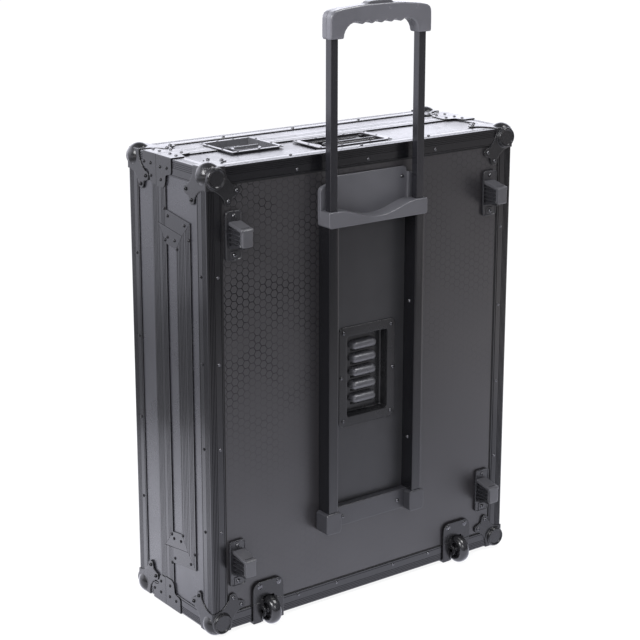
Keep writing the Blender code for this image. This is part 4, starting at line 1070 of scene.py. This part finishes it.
def vent_scoops():
    """Draw a ball out sideways for each scoop and cut it off below and behind."""
    shape = bmesh.new()
    for z in SCOOP_LEVELS:
        egg = bmesh.new()
        bmesh.ops.create_uvsphere(egg, u_segments=32, v_segments=16, radius=1.0)
        bmesh.ops.scale(egg, vec=(0.0105, 0.0125, 0.0094), verts=egg.verts)
        for side in (-1, 1):
            ends = [v for v in egg.verts if v.co.x * side > 1e-4]
            bmesh.ops.translate(egg, vec=(side * 0.0175, 0, 0), verts=ends)
        bmesh.ops.translate(egg, vec=(0.0005, VENT_DEEP - 0.0004, z + 0.001), verts=egg.verts)
        cut_off(egg, (0, 0, z - 0.0060), (0, 0.25, -1))
        cut_off(egg, (0, VENT_DEEP + 0.0006, 0), (0, 1, 0))
        gather(shape, egg)
    return shape


place("vent_pressing", vent_shape(), STEEL, "base", ("vent_dish",), 40.0)
# The scoops take the lighter vent steel, a painted sheen.
place("vent_scoops", vent_scoops(), VENT_STEEL_PAINTED_SHEEN, "base", (), 40.0)
# Dead black blocks in the slots under the scoops paint the shade there.
slots = bmesh.new()
for z in SCOOP_LEVELS:
    slot = block((-0.0235, VENT_DEEP - 0.0009, z - 0.0102), (0.0245, VENT_DEEP + 0.002, z - 0.0056))
    gather(slots, round_off(slot, 0.0008))

# %% A dead black that paints shade in slots, wheel wells and along the back panel's border
def painted_shade_black():
    finish = Finish("painted_shade_black")
    dust = finish.noise(finish.spot(), 200.0)
    tint = finish.mixed(dust, (0.002, 0.002, 0.002), (0.005, 0.005, 0.005))
    return finish.feed(Base_Color=tint, Roughness=dust.step_up(0.2, 0.8, 0.85, 0.98))


PAINTED_SHADE_BLACK = painted_shade_black()
# Thin black strips round the back panel paint a shadow line along its border.
gap = bmesh.new()
for x in (-0.2940, 0.2940):
    gather(gap, block((x - 0.0009, 0.0010, 0.0290), (x + 0.0009, 0.0020, HEIGHT - 0.0290)))
for z in (0.0300, HEIGHT - 0.0300):
    gather(gap, block((-0.2950, 0.0010, z - 0.0010), (0.2950, 0.0020, z + 0.0010)))
place("base_panel_painted_shadow", gap, PAINTED_SHADE_BLACK, "base")
place("vent_slots_painted_shade", slots, PAINTED_SHADE_BLACK, "base")

# %% [markdown]
# ## Trolley, fixed part
# Two square rails are riveted to the back, with a thin plate between them. A moulded bracket holds
# their tops and has a curved lip that the grip sits on when it is down. Another bracket closes their
# lower ends. The brackets' outlines are drawn in front view and drawn out; wide bevels round them.

# %% Rails and the plate between them
RAIL_X = 0.092
RAIL_PROUD = 0.0285


def rail_shape(side):
    x = side * RAIL_X
    half = 0.010
    left = [(-0.0095, 0.0015), (-half, 0.0010), (-half, -0.0270), (-0.0094, -0.0281), (-0.0083, -RAIL_PROUD),
            (-0.0056, -RAIL_PROUD), (-0.0052, -0.0280)]
    outline = left + [(-u, v) for u, v in reversed(left)]
    return plate([(x + u, v) for u, v in outline], "Z", 0.1504, 0.703)


for side, label in ((-1, "left"), (1, "right")):
    place(f"rail_{label}", rail_shape(side), PROFILE_Z, "base", (f"trolley_rail_{label}",))
refinish(BACKING_SHEET, "trolley_backing_plate")

# %% Upper bracket
def dip(half, high, low, count=20):
    """Return points from right to left along a soft dip between two level ends."""
    points = []
    for step in range(count + 1):
        t = step / count
        depth = (high - low) * (0.5 - 0.5 * math.cos(math.tau * t)) ** 0.8
        points.append((half - 2 * half * t, high - depth))
    return points


def upper_bracket():
    right = [(0.1035, 0.6787), (0.105, 0.682), (0.105, 0.705)]
    outline = [(-0.1005, 0.6775), (0.1005, 0.6775)] + right + dip(0.080, 0.705, 0.6875)
    outline += [(-u, v) for u, v in reversed(right)]
    shape = round_off(plate(outline, "Y", -0.0325, 0.0012), 0.0017, 3, 30.0)
    for side in (-1, 1):
        ear = [(0.0805, 0.690), (0.1055, 0.690), (0.1055, 0.738), (0.1035, 0.7425), (0.0990, 0.745),
               (0.0805, 0.750)]
        ear = [(side * u, v) for u, v in ear]
        gather(shape, round_off(plate(ear, "Y", -0.0080, 0.0009), 0.0012, 3))
    return shape


def bracket_back():
    back = [(-0.0815, 0.684), (0.0815, 0.684), (0.0815, 0.7525), (0.0800, 0.7565), (0.0755, 0.759),
            (-0.0755, 0.759), (-0.0800, 0.7565), (-0.0815, 0.7525)]
    return round_off(plate(back, "Y", -0.0030, 0.0012), 0.0011, 3)


place("upper_bracket", upper_bracket(), LIP_PLASTIC, "base", ("trolley_upper_bracket",))
place("upper_bracket_back", bracket_back(), LIP_PLASTIC, "base")

# %% Lower bracket
def lower_bracket():
    bar = rounded((-0.100, 0.136), (0.100, 0.1725), 0.006)
    shape = round_off(plate(bar, "Y", -0.0135, 0.0012), 0.0014, 3)
    for side in (-1, 1):
        low, high = sorted((side * 0.076, side * 0.108))
        end = rounded((low, 0.133), (high, 0.171), 0.006)
        gather(shape, round_off(plate(end, "Y", -0.0312, 0.0010), 0.0020, 3))
    return shape


# The lower bracket is the same plastic as the upper one, painted darker as shade.
place("lower_bracket", lower_bracket(), SHADED_BRACKET_PLASTIC, "base", ("trolley_lower_bracket",))

# %% Screws on the back face
PAIRS = ((0.0517, -0.0019, 0.482), (0.0517, -0.0019, 0.323), (0.0565, -0.0019, 0.4025),
         (0.071, -0.0030, 0.742), (0.061, -0.0135, 0.153))
back_screws = [((side * x, y, z), (0, -1, 0)) for side in (-1, 1) for x, y, z in PAIRS]
for side in (-1, 1):
    back_screws += [((side * (RAIL_X - 0.010), -0.0140, z), (-side, 0, 0)) for z in (0.27, 0.521)]
caster_screws = [((side * x, -0.0038, 0.0625), (0, -1, 0)) for side in (-1, 1) for x in (0.1915, 0.2306)]
screws = set_heads(bmesh.new(), screw_head(0.0037, 0.0025), feet_screws)
set_heads(screws, screw_head(0.0035, 0.0024), back_screws)
set_heads(screws, screw_head(0.0052, 0.0017), caster_screws)
place("back_screws", screws, SCREW, "base")

# %% [markdown]
# ## Trolley, sliding part
# Two slim tubes carry the grip. The grip is a soft moulding with waves for the fingers below and a
# release button let into its top. Its front outline is drawn out and given wide bevels, and a thin
# groove marks where its two halves meet.

# %% Tubes
GRIP_LOW = 0.990
TUBE_NEAR, TUBE_FAR = 0.0134, 0.0268


def tube_shape(side):
    x = side * RAIL_X
    outline = rounded((x - 0.0073, -TUBE_FAR - 0.0008), (x + 0.0073, -TUBE_NEAR + 0.0008), 0.0012, 4)
    return plate(outline, "Z", 0.620, GRIP_LOW + 0.012)


for side, label in ((-1, "left"), (1, "right")):
    place(f"tube_{label}", tube_shape(side), TUBE, "trolley", (f"trolley_tube_{label}",))

# %% Grip with finger waves
GRIP_NEAR, GRIP_GROOVE, GRIP_FAR = -0.0090, -0.0222, -0.0355


def grip_outline(pocket):
    """Return the front outline of the grip, with or without the pocket for the button."""
    right = [(0.1048, 1.0235), (0.1040, 1.0282), (0.1015, 1.0325), (0.0960, 1.0358), (0.0820, 1.0386),
             (0.0670, 1.0402), (0.0500, 1.0419), (0.0330, 1.0432)]
    left = [(-u, v) for u, v in reversed(right)]
    if pocket:
        right += [(0.0303, 1.0433), (0.0303, 1.0332), (-0.0303, 1.0332), (-0.0303, 1.0433)]
    leg = [(-0.1052, 1.010), (-0.1050, GRIP_LOW + 0.003), (-0.1035, GRIP_LOW), (-0.0792, GRIP_LOW),
           (-0.0776, GRIP_LOW + 0.002), (-0.0765, 0.9975), (-0.0740, 1.0030), (-0.0695, 1.0085),
           (-0.0640, 1.0124), (-0.0580, 1.0145)]
    waves = []
    for step in range(51):
        x = -0.050 + 0.100 * step / 50
        waves.append((x, 1.0132 + 0.0019 * math.cos(math.tau * (x + 0.050) / 0.020)))
    return right + left + leg + waves + [(-u, v) for u, v in reversed(leg)]


def grip_shape():
    """Make the grip in four layers; the inner two part at a groove and hold the button's pocket."""
    shape = bmesh.new()
    for near, far, pocket in ((GRIP_NEAR, -0.0145, False), (-0.0145, -0.0220, True),
                              (-0.0224, -0.0300, True), (-0.0300, GRIP_FAR, False)):
        layer = plate(grip_outline(pocket), "Y", near, far)
        outer_y = GRIP_NEAR if near > GRIP_GROOVE else GRIP_FAR
        rim = [e for e in layer.edges if all(abs(v.co.y - outer_y) < 1e-5 for v in e.verts)]
        bevelled(layer, rim, 0.0055, 5)
        seam = [e for e in layer.edges if all(abs(v.co.y - GRIP_GROOVE) < 3e-4 for v in e.verts)]
        gather(shape, bevelled(layer, seam, 0.0004, 1))
    return shape


place("grip_moulding", grip_shape(), GREY_PLASTIC, "trolley", ("trolley_grip",), 45.0)

# %% Release button
def button_shape():
    crown = [(0.0268, 1.0432), (0.0255, 1.0455), (0.0215, 1.0470), (0.0120, 1.0480), (0.0, 1.0483)]
    outline = [(-0.0268, 1.0380), (0.0268, 1.0380)] + crown + [(-u, v) for u, v in reversed(crown[:-1])]
    return round_off(plate(outline, "Y", -0.0294, -0.0151), 0.0014, 3, 25.0)


place("button_cap", button_shape(), BUTTON_PLASTIC, "button", ("release_button",))

# %% [markdown]
# ## Sunk wheels
# Two small wheels sit in steel housings let into the bottom edge, so they touch the floor only when the case
# is tilted back. The housing is a bevelled plate with an arch, two legs that fold round the edge, cheeks for
# the axle and a box behind them, painted dead black as shade. The wheel is spun from its section, with a hub
# hollow on each side.

# %% Housings
WHEEL_X = 0.2123
AXLE_Y, AXLE_Z = -0.0084, 0.0179


def housing_shape(side):
    x = side * WHEEL_X
    half = 0.0316
    leg = 0.0150
    arch = [(-half, -0.0044), (-leg, -0.0044), (-leg, 0.0330), (-leg + 0.0045, 0.0425)]
    outline = [(x + u, v) for u, v in arch] + [(x - u, v) for u, v in reversed(arch)]
    outline += arc((x + half - 0.014, 0.0567), 0.014, 0.0, 90.0, 7)
    outline += arc((x - half + 0.014, 0.0567), 0.014, 90.0, 180.0, 7)
    shape = round_off(plate(outline, "Y", -0.0003, -0.0040), 0.0009, 3)
    for edge in (-1, 1):
        start, end = sorted((x + edge * 0.0155, x + edge * (half - 0.0002)))
        gather(shape, round_off(block((start, -0.0020, -0.0043), (end, 0.056, -0.0004)), 0.0006))
        fold = block((start + 0.0008, -0.0048, -0.0040), (end - 0.0008, -0.0020, 0.0335))
        gather(shape, round_off(fold, 0.0010, 3))
        low, high = sorted((x + edge * 0.0117, x + edge * 0.0165))
        profile = [(0.004, -0.0040), (0.004, 0.040), (-0.0050, 0.0385)]
        profile += arc((AXLE_Y, AXLE_Z), 0.009, 90.0, 270.0, 8) + [(-0.0035, -0.0040)]
        gather(shape, round_off(plate(profile, "X", low, high), 0.0006))
    gather(shape, rod((AXLE_Y, AXLE_Z), 0.0035, "X", x - 0.0165, x + 0.0165, 20))
    return shape


def housing_well(side):
    """Make the box inside a housing, open at the back and at the bottom of the case; it is painted dead black
    as shade.
    """
    x = side * WHEEL_X
    shape = block((x - 0.0169, -0.0030, -0.0035), (x + 0.0169, 0.0234, 0.0484))
    open_faces = [f for f in shape.faces if f.normal.y < -0.5 or f.normal.z < -0.5]
    bmesh.ops.delete(shape, geom=open_faces, context="FACES")
    bmesh.ops.solidify(shape, geom=shape.faces, thickness=0.0012)
    return shape


def wheel_shape():
    """Spin a solid wheel about Z; its hub hollows and tyre shoulders are rounded in the section."""
    side = [(0.0, 0.0072), (0.0045, 0.0072), (0.0052, 0.0060), (0.0120, 0.0052), (0.0135, 0.0062),
            (0.0143, 0.0086), (0.0155, 0.0098), (0.0178, 0.0100), (0.0205, 0.0095), (0.0228, 0.0078),
            (0.0242, 0.0052), (0.0249, 0.0020)]
    return turned(side + [(r, -h) for r, h in reversed(side)], 48)


for side, label in ((-1, "left"), (1, "right")):
    place(f"caster_housing_{label}", housing_shape(side), STEEL, "base",
          (f"caster_bracket_{label}",))
    # The box in each housing is painted dead black as shade.
    place(f"caster_well_painted_shade_{label}", housing_well(side), PAINTED_SHADE_BLACK, "base")
    axle = Matrix.Translation((side * WHEEL_X, AXLE_Y, AXLE_Z)) @ LAY_ON_X
    body = f"wheel_{label}"
    place(body + "_tyre", moved(wheel_shape(), axle), TYRE, body, (f"caster_wheel_{label}",), 50.0)
    near_end = axle @ Matrix.Translation((0, 0, 0.0078))
    far_end = axle @ Matrix.Translation((0, 0, -0.0078)) @ Matrix.Rotation(math.pi, 4, "X")
    bolt = gather(bmesh.new(), *[moved(rivet_head(0.0042, 0.0018), end) for end in (near_end, far_end)])
    place(body + "_bolt", bolt, SCREW, body)

# %% [markdown]
# ## Butterfly latches
# Each latch is sunk in the seam, half of it in the base and half in the lid. A drum with two wings
# turns and drives a hook over a bar. The parts are made lying flat, with x across, y inwards and z
# outwards, and one matrix per latch turns them to the top, the bottom or the side of the case.

# %% Pressed dishes
LATCH_HALF, LATCH_START, LATCH_END = 0.0525, 0.081, 0.185
PAN_HALF, PAN_DEEP = 0.0468, 0.013
FLANGE_TOP = 0.0022
WING_Y = 0.118


def open_pan(low, high, open_sides):
    """Make a sheet pan from a box by leaving out the sides that are open."""
    shape = block(low, high)
    missing = [f for f in shape.faces if any(f.normal.dot(Vector(way)) > 0.5 for way in open_sides)]
    bmesh.ops.delete(shape, geom=missing, context="FACES")
    folds = [e for e in shape.edges if len(e.link_faces) == 2]
    bevelled(shape, folds, 0.0022, 3)
    bmesh.ops.recalc_face_normals(shape, faces=shape.faces)
    floor_face = min(shape.faces, key=lambda face: face.calc_center_median().z)
    if floor_face.normal.z > 0:
        bmesh.ops.reverse_faces(shape, faces=shape.faces)
    bmesh.ops.solidify(shape, geom=shape.faces, thickness=0.0010)
    return shape


def flange_outline(seam_y, far_y, half, rim, turn_in=0.004):
    """Return a U outline of a flange that is open at the seam, with its outer corners rounded."""
    way = 1 if far_y > seam_y else -1
    turn = arc((half - turn_in, 0.0), turn_in, 0.0, 90.0, 4)
    corner = [(u, far_y + way * (v - turn_in)) for u, v in turn]
    outer = [(half, seam_y)] + corner + [(-u, v) for u, v in reversed(corner)] + [(-half, seam_y)]
    inside, inner_y = half - rim, far_y - way * rim
    return outer + [(-inside, seam_y), (-inside, inner_y), (inside, inner_y), (inside, seam_y)]


def half_dish(seam_y, far_y):
    """Make one half of the recess: a flange and a pan, both open at the seam."""
    way = 1 if far_y > seam_y else -1
    outline = flange_outline(seam_y, far_y, LATCH_HALF, 0.0062)
    flange = round_off(plate(outline, "Z", 0.0007, FLANGE_TOP), 0.0005)
    low_y, high_y = sorted((seam_y, far_y - way * 0.0057))
    low, high = (-PAN_HALF, low_y, -PAN_DEEP - 0.0008), (PAN_HALF, high_y, 0.0010)
    return gather(flange, open_pan(low, high, ((0, 0, 1), (0, -way, 0))))


def latch_dish():
    return half_dish(BASE_BAND[1], LATCH_START)


def latch_strike():
    bar = round_off(block((-0.015, 0.157, -PAN_DEEP - 0.0004), (0.015, 0.161, -0.0095)), 0.0008)
    return gather(half_dish(LID_BAND[0], LATCH_END), bar)


# %% Drum, wings and hook
def latch_wing():
    drum = turned([(0.0, -0.0127), (0.0112, -0.0127), (0.0115, -0.0122), (0.0115, -0.0044), (0.0108, -0.0036),
                   (0.0, -0.0034)], 32)
    outline = arc((0.0105, 0.0), 0.0165, -90.0, 90.0, 12) + arc((-0.0105, 0.0), 0.0165, 90.0, 270.0, 12)
    wings = plate(outline, "Z", -0.0034, -0.0008)
    front = max(wings.faces, key=lambda face: face.calc_center_median().z)
    bmesh.ops.inset_region(wings, faces=[front], thickness=0.0012, depth=0.0004)
    bmesh.ops.inset_region(wings, faces=[front], thickness=0.0014, depth=-0.0010)
    ridge = round_off(block((-0.0240, -0.0016, -0.0036), (0.0240, 0.0016, 0.0028)), 0.0009, 3)
    pin = moved(rivet_head(0.0034, 0.0012), Matrix.Translation((0, 0, -0.0018)))
    shape = gather(bmesh.new(), drum, round_off(wings, 0.0003, 1), ridge, pin)
    return moved(shape, Matrix.Translation((0, WING_Y, 0)))


def latch_hook():
    outline = [(-0.009, 0.1310), (0.009, 0.1310), (0.009, 0.155), (0.014, 0.158), (0.014, 0.1660),
               (-0.014, 0.1660), (-0.014, 0.158), (-0.009, 0.155)]
    return round_off(plate(outline, "Z", -0.0090, -0.0060), 0.0008, 3)


# %% Four latches on three sides
TURNS = {("Z", 1): 0, ("Z", -1): 180, ("X", 1): 90}
RIVET_ROWS = (("base", 0.1160, (-0.0400, 0.0030, 0.0460), 0.0840),
              ("lid", 0.1620, (-0.0465, -0.0155, 0.0155, 0.0465), 0.1820))
for name, axis, way, spot in LATCH_SPOTS:
    if axis == "Z":
        middle = (spot, 0.0, HEIGHT if way > 0 else 0.0)
    else:
        middle = (way * HALF_WIDTH, 0.0, spot)
    stand = Matrix.Translation(middle) @ Matrix.Rotation(math.radians(TURNS[axis, way]), 4, "Y")
    # The latch pressings take the lighter latch steel, a painted sheen.
    for kind, make, body in (("dish", latch_dish, "base"), ("strike", latch_strike, "lid"),
                             ("wing", latch_wing, name + "_wing"), ("hook", latch_hook, name + "_hook")):
        place(f"{name}_{kind}_pressing", moved(make(), stand), LATCH_STEEL_PAINTED_SHEEN, body,
              (f"latch_{name}_{kind}",))
    for body, side_y, run, edge_y in RIVET_ROWS:
        spots = [((side * 0.0494, side_y, FLANGE_TOP), (0, 0, 1)) for side in (-1, 1)]
        spots += [((x, edge_y, FLANGE_TOP), (0, 0, 1)) for x in run]
        heads = set_heads(bmesh.new(), rivet_head(0.0022, 0.0014), spots)
        place(f"{name}_{body}_rivets", moved(heads, stand), SCREW, body)

# %% [markdown]
# ## Recessed handle
# The carrying handle folds flat in a dish in the top wall and springs back by itself. The dish is a
# pan with a raised flange; the bail is a round bar with a thick sleeve that fills the hand. A sleeve
# is a turned part, so its rings and rounded ends are spun in one go.

# %% Dish
DISH_TOP = 0.0018


def handle_dish():
    rings = []
    for half, low_y, high_y, radius, z in ((0.0785, 0.0300, 0.1130, 0.0060, 0.0002),
                                           (0.0785, 0.0300, 0.1130, 0.0060, 0.0012),
                                           (0.0775, 0.0310, 0.1120, 0.0055, DISH_TOP),
                                           (0.0668, 0.0366, 0.1077, 0.0055, DISH_TOP),
                                           (0.0655, 0.0378, 0.1065, 0.0050, 0.0008),
                                           (0.0650, 0.0384, 0.1060, 0.0048, -0.0200),
                                           (0.0635, 0.0400, 0.1045, 0.0040, -0.0218)):
        rings.append([(u, v, z) for u, v in rounded((-half, low_y), (half, high_y), radius)])
    shape = facing(skin(rings), (0, 0, 1))
    for side in (-1, 1):
        low, high = sorted((side * 0.0575, side * 0.0650))
        gather(shape, round_off(block((low, 0.0970, -0.0125), (high, 0.1065, -0.0006)), 0.0008))
    return shape


# %% Bail with its sleeve
BAIL_Y, BAIL_DOWN, SLEEVE_Y, SLEEVE_UP = 0.1025, 0.006, 0.054, 0.002


def handle_bail():
    shape = rod((BAIL_Y, -BAIL_DOWN), 0.0042, "X", -0.0570, 0.0570, 24)
    for side in (-1, 1):
        x, end_y = side * 0.0485, BAIL_Y + 0.002
        arm = [(x - 0.0040, SLEEVE_Y), (x + 0.0040, SLEEVE_Y), (x + 0.0040, end_y), (x - 0.0040, end_y)]
        gather(shape, round_off(plate(arm, "Z", -BAIL_DOWN - 0.0030, -BAIL_DOWN + 0.0030), 0.0018, 3))
    profile = [(0.0, -0.0535), (0.0062, -0.0535), (0.0078, -0.0527), (0.0085, -0.0510)]
    for ring in range(5):
        x = -0.044 + 0.0035 * ring
        profile += [(0.0085, x - 0.0008), (0.0080, x), (0.0085, x + 0.0008)]
    profile += [(r, -x) for r, x in reversed(profile)]
    lay = Matrix.Translation((0, SLEEVE_Y, -BAIL_DOWN + SLEEVE_UP)) @ LAY_ON_X
    return gather(shape, moved(turned(profile, 28), lay))


stand = Matrix.Translation((0, 0, HEIGHT))
place("handle_pressing", moved(handle_dish(), stand), STEEL, "base", ("handle_dish",))
place("bail_bar", moved(handle_bail(), stand), STEEL, "bail", ("handle_bail",), 40.0)
spots = [((x, y, DISH_TOP), (0, 0, 1)) for x in (-0.0725, 0.0725) for y in (0.036, 0.0715, 0.107)]
spots += [((x, y, DISH_TOP), (0, 0, 1)) for x in (-0.030, 0.030) for y in (0.0335, 0.1098)]
heads = set_heads(bmesh.new(), rivet_head(0.0020, 0.0009), spots)
place("handle_rivets", moved(heads, stand), SCREW, "base")

# %% [markdown]
# ## Foam liners
# The foam that holds the equipment is cut with a knife, so its faces are flat but its edges are
# pressed round by use. The CAD blocks have every pocket and notch in place. A copy of each is merged
# from loose triangles into one skin, and its edges are given soft bevels.

# %% Two liners
def liner(node, body):
    shape = bmesh.new()
    shape.from_mesh(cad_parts[node].data)
    bmesh.ops.remove_doubles(shape, verts=shape.verts, dist=1e-5)
    bmesh.ops.dissolve_limit(shape, angle_limit=math.radians(1.0), verts=shape.verts, edges=shape.edges)
    bmesh.ops.translate(shape, vec=(0.0, -BACK, -FLOOR), verts=shape.verts)
    round_off(shape, 0.0025, 2, 40.0)
    bmesh.ops.triangulate(shape, faces=[f for f in shape.faces if len(f.verts) > 4])
    piece = place(node + "_liner", shape, BLACK_FOAM, body, (node,), 50.0)


liner("base_foam", "base")
liner("lid_foam", "lid")

# %% [markdown]
# ## Floor, light and background
# Black gloss shows what stands round it, so the light is set by what each side of the case mirrors.
# The top mirrors a bright wall far behind, the left side mirrors the floor behind it, and the back
# panel mirrors a pale floor that ends in the dark of the room. To the camera the floor is plain and
# pale: its bright and dark stretches, some brighter than white, show only in what the case mirrors.

# %% A pale floor that keeps the shadow
def floor_finish():
    finish = Finish("pale_floor")
    tree = finish.tree
    path = finish.node("ShaderNodeLightPath", {}, {}, "Is Camera Ray")
    glossy = Value(finish, path.socket.node.outputs["Is Glossy Ray"])
    clear = Value(finish, path.socket.node.outputs["Is Transmission Ray"])
    x, y, _ = finish.axes(finish.spot())
    far = finish.node("ShaderNodeVectorMath", {"operation": "LENGTH"}, {0: finish.spot()}, "Value")
    before = (y * -1.0).step_up(-0.25, 0.05)
    near = 1.9 - far.step_up(0.2, 1.1) * 1.1 - far.step_up(1.0, 2.3) * 0.75
    right = (x + y * 0.6).step_up(0.33, 0.56) * 1.25 * (1.0 - far.step_up(3.2, 3.5) * 0.7)
    left = (x * -1.0).step_up(2.5, 3.1) * 2.2
    behind = 2.75 - far.step_up(0.5, 1.10) - far.step_up(1.10, 1.17) * 1.45
    behind = behind + far.step_up(2.20, 2.30) + far.step_up(3.2, 3.4) * 0.35
    shown = 1.06 * path + (1.0 - path) * (before * (near + right + left) + (1.0 - before) * behind)
    paint = finish.node("ShaderNodeBsdfDiffuse", {}, {"Color": (0.85, 0.85, 0.85, 1.0)}, "BSDF")
    front = finish.mixed(far.step_up(0.6, 2.0), (0.955, 0.965, 1.11), (1.035, 0.985, 1.0))
    mirrored = finish.mixed(before, (0.965, 0.97, 1.085), front)
    colour = finish.mixed(path, mirrored, (1.0, 1.0, 1.0))
    glow = finish.node("ShaderNodeEmission", {}, {"Color": colour, "Strength": shown}, "Emission")
    share = ((path + glossy + clear).clamped()) * 0.85
    both = finish.node("ShaderNodeMixShader", {}, {0: share, 1: paint, 2: glow}, "Shader")
    out = tree.nodes["Material Output"]
    tree.links.new(both.socket, out.inputs["Surface"])
    tree.nodes.remove(finish.shader)
    return finish.material


floor_shape = bmesh.new()
bmesh.ops.create_grid(floor_shape, x_segments=2, y_segments=2, size=30.0)
floor_mesh = bpy.data.meshes.new("floor")
floor_shape.to_mesh(floor_mesh)
floor_shape.free()
floor_mesh.materials.append(floor_finish())
floor = bpy.data.objects.new("floor", floor_mesh)
bpy.context.collection.objects.link(floor)
print("floor laid")

# %% World and lamps
world = bpy.data.worlds.new("studio")
bpy.context.scene.world = world
world.use_nodes = True
sky = Finish("studio", world)
way = sky.node("ShaderNodeTexCoord", {}, {}, "Generated")
wx, wy, wz = sky.axes(way)
path = sky.node("ShaderNodeLightPath", {}, {}, "Is Camera Ray")
wall = wy.step_up(0.15, 0.65) * (1.0 - wz.step_up(0.35, 0.75))
left = (wx * -1.0).step_up(-0.10, 0.60)
light = 0.12 + wz.step_up(0.02, 0.40) * (0.30 + left * 0.95) + wall * 2.55
shown = path + (1.0 - path) * light
sky.tree.links.new(shown.socket, sky.tree.nodes["Background"].inputs["Strength"])
tint = sky.mixed(path, (0.975, 0.98, 1.08), (1.0, 1.0, 1.0))
sky.tree.links.new(tint.socket, sky.tree.nodes["Background"].inputs["Color"])


def softbox(name, spot, aim, size, watts):
    """Add a square lamp that faces a point."""
    lamp = bpy.data.lights.new(name, "AREA")
    lamp.shape = "RECTANGLE"
    lamp.size, lamp.size_y = size
    lamp.energy = watts
    holder = bpy.data.objects.new(name, lamp)
    holder.location = spot
    holder.rotation_euler = (Vector(aim) - Vector(spot)).to_track_quat("-Z", "Y").to_euler()
    bpy.context.collection.objects.link(holder)
    return holder


softbox("key_softbox", (-2.0, -0.50, 1.85), (0, 0, 0.6), (1.1, 1.1), 80.0)
softbox("top_softbox", (1.2, -1.0, 3.2), (0, 0, 0.6), (1.2, 1.2), 60.0)
softbox("front_softbox", (-0.3, -3.2, 2.2), (0, 0, 0.5), (1.0, 1.0), 25.0)
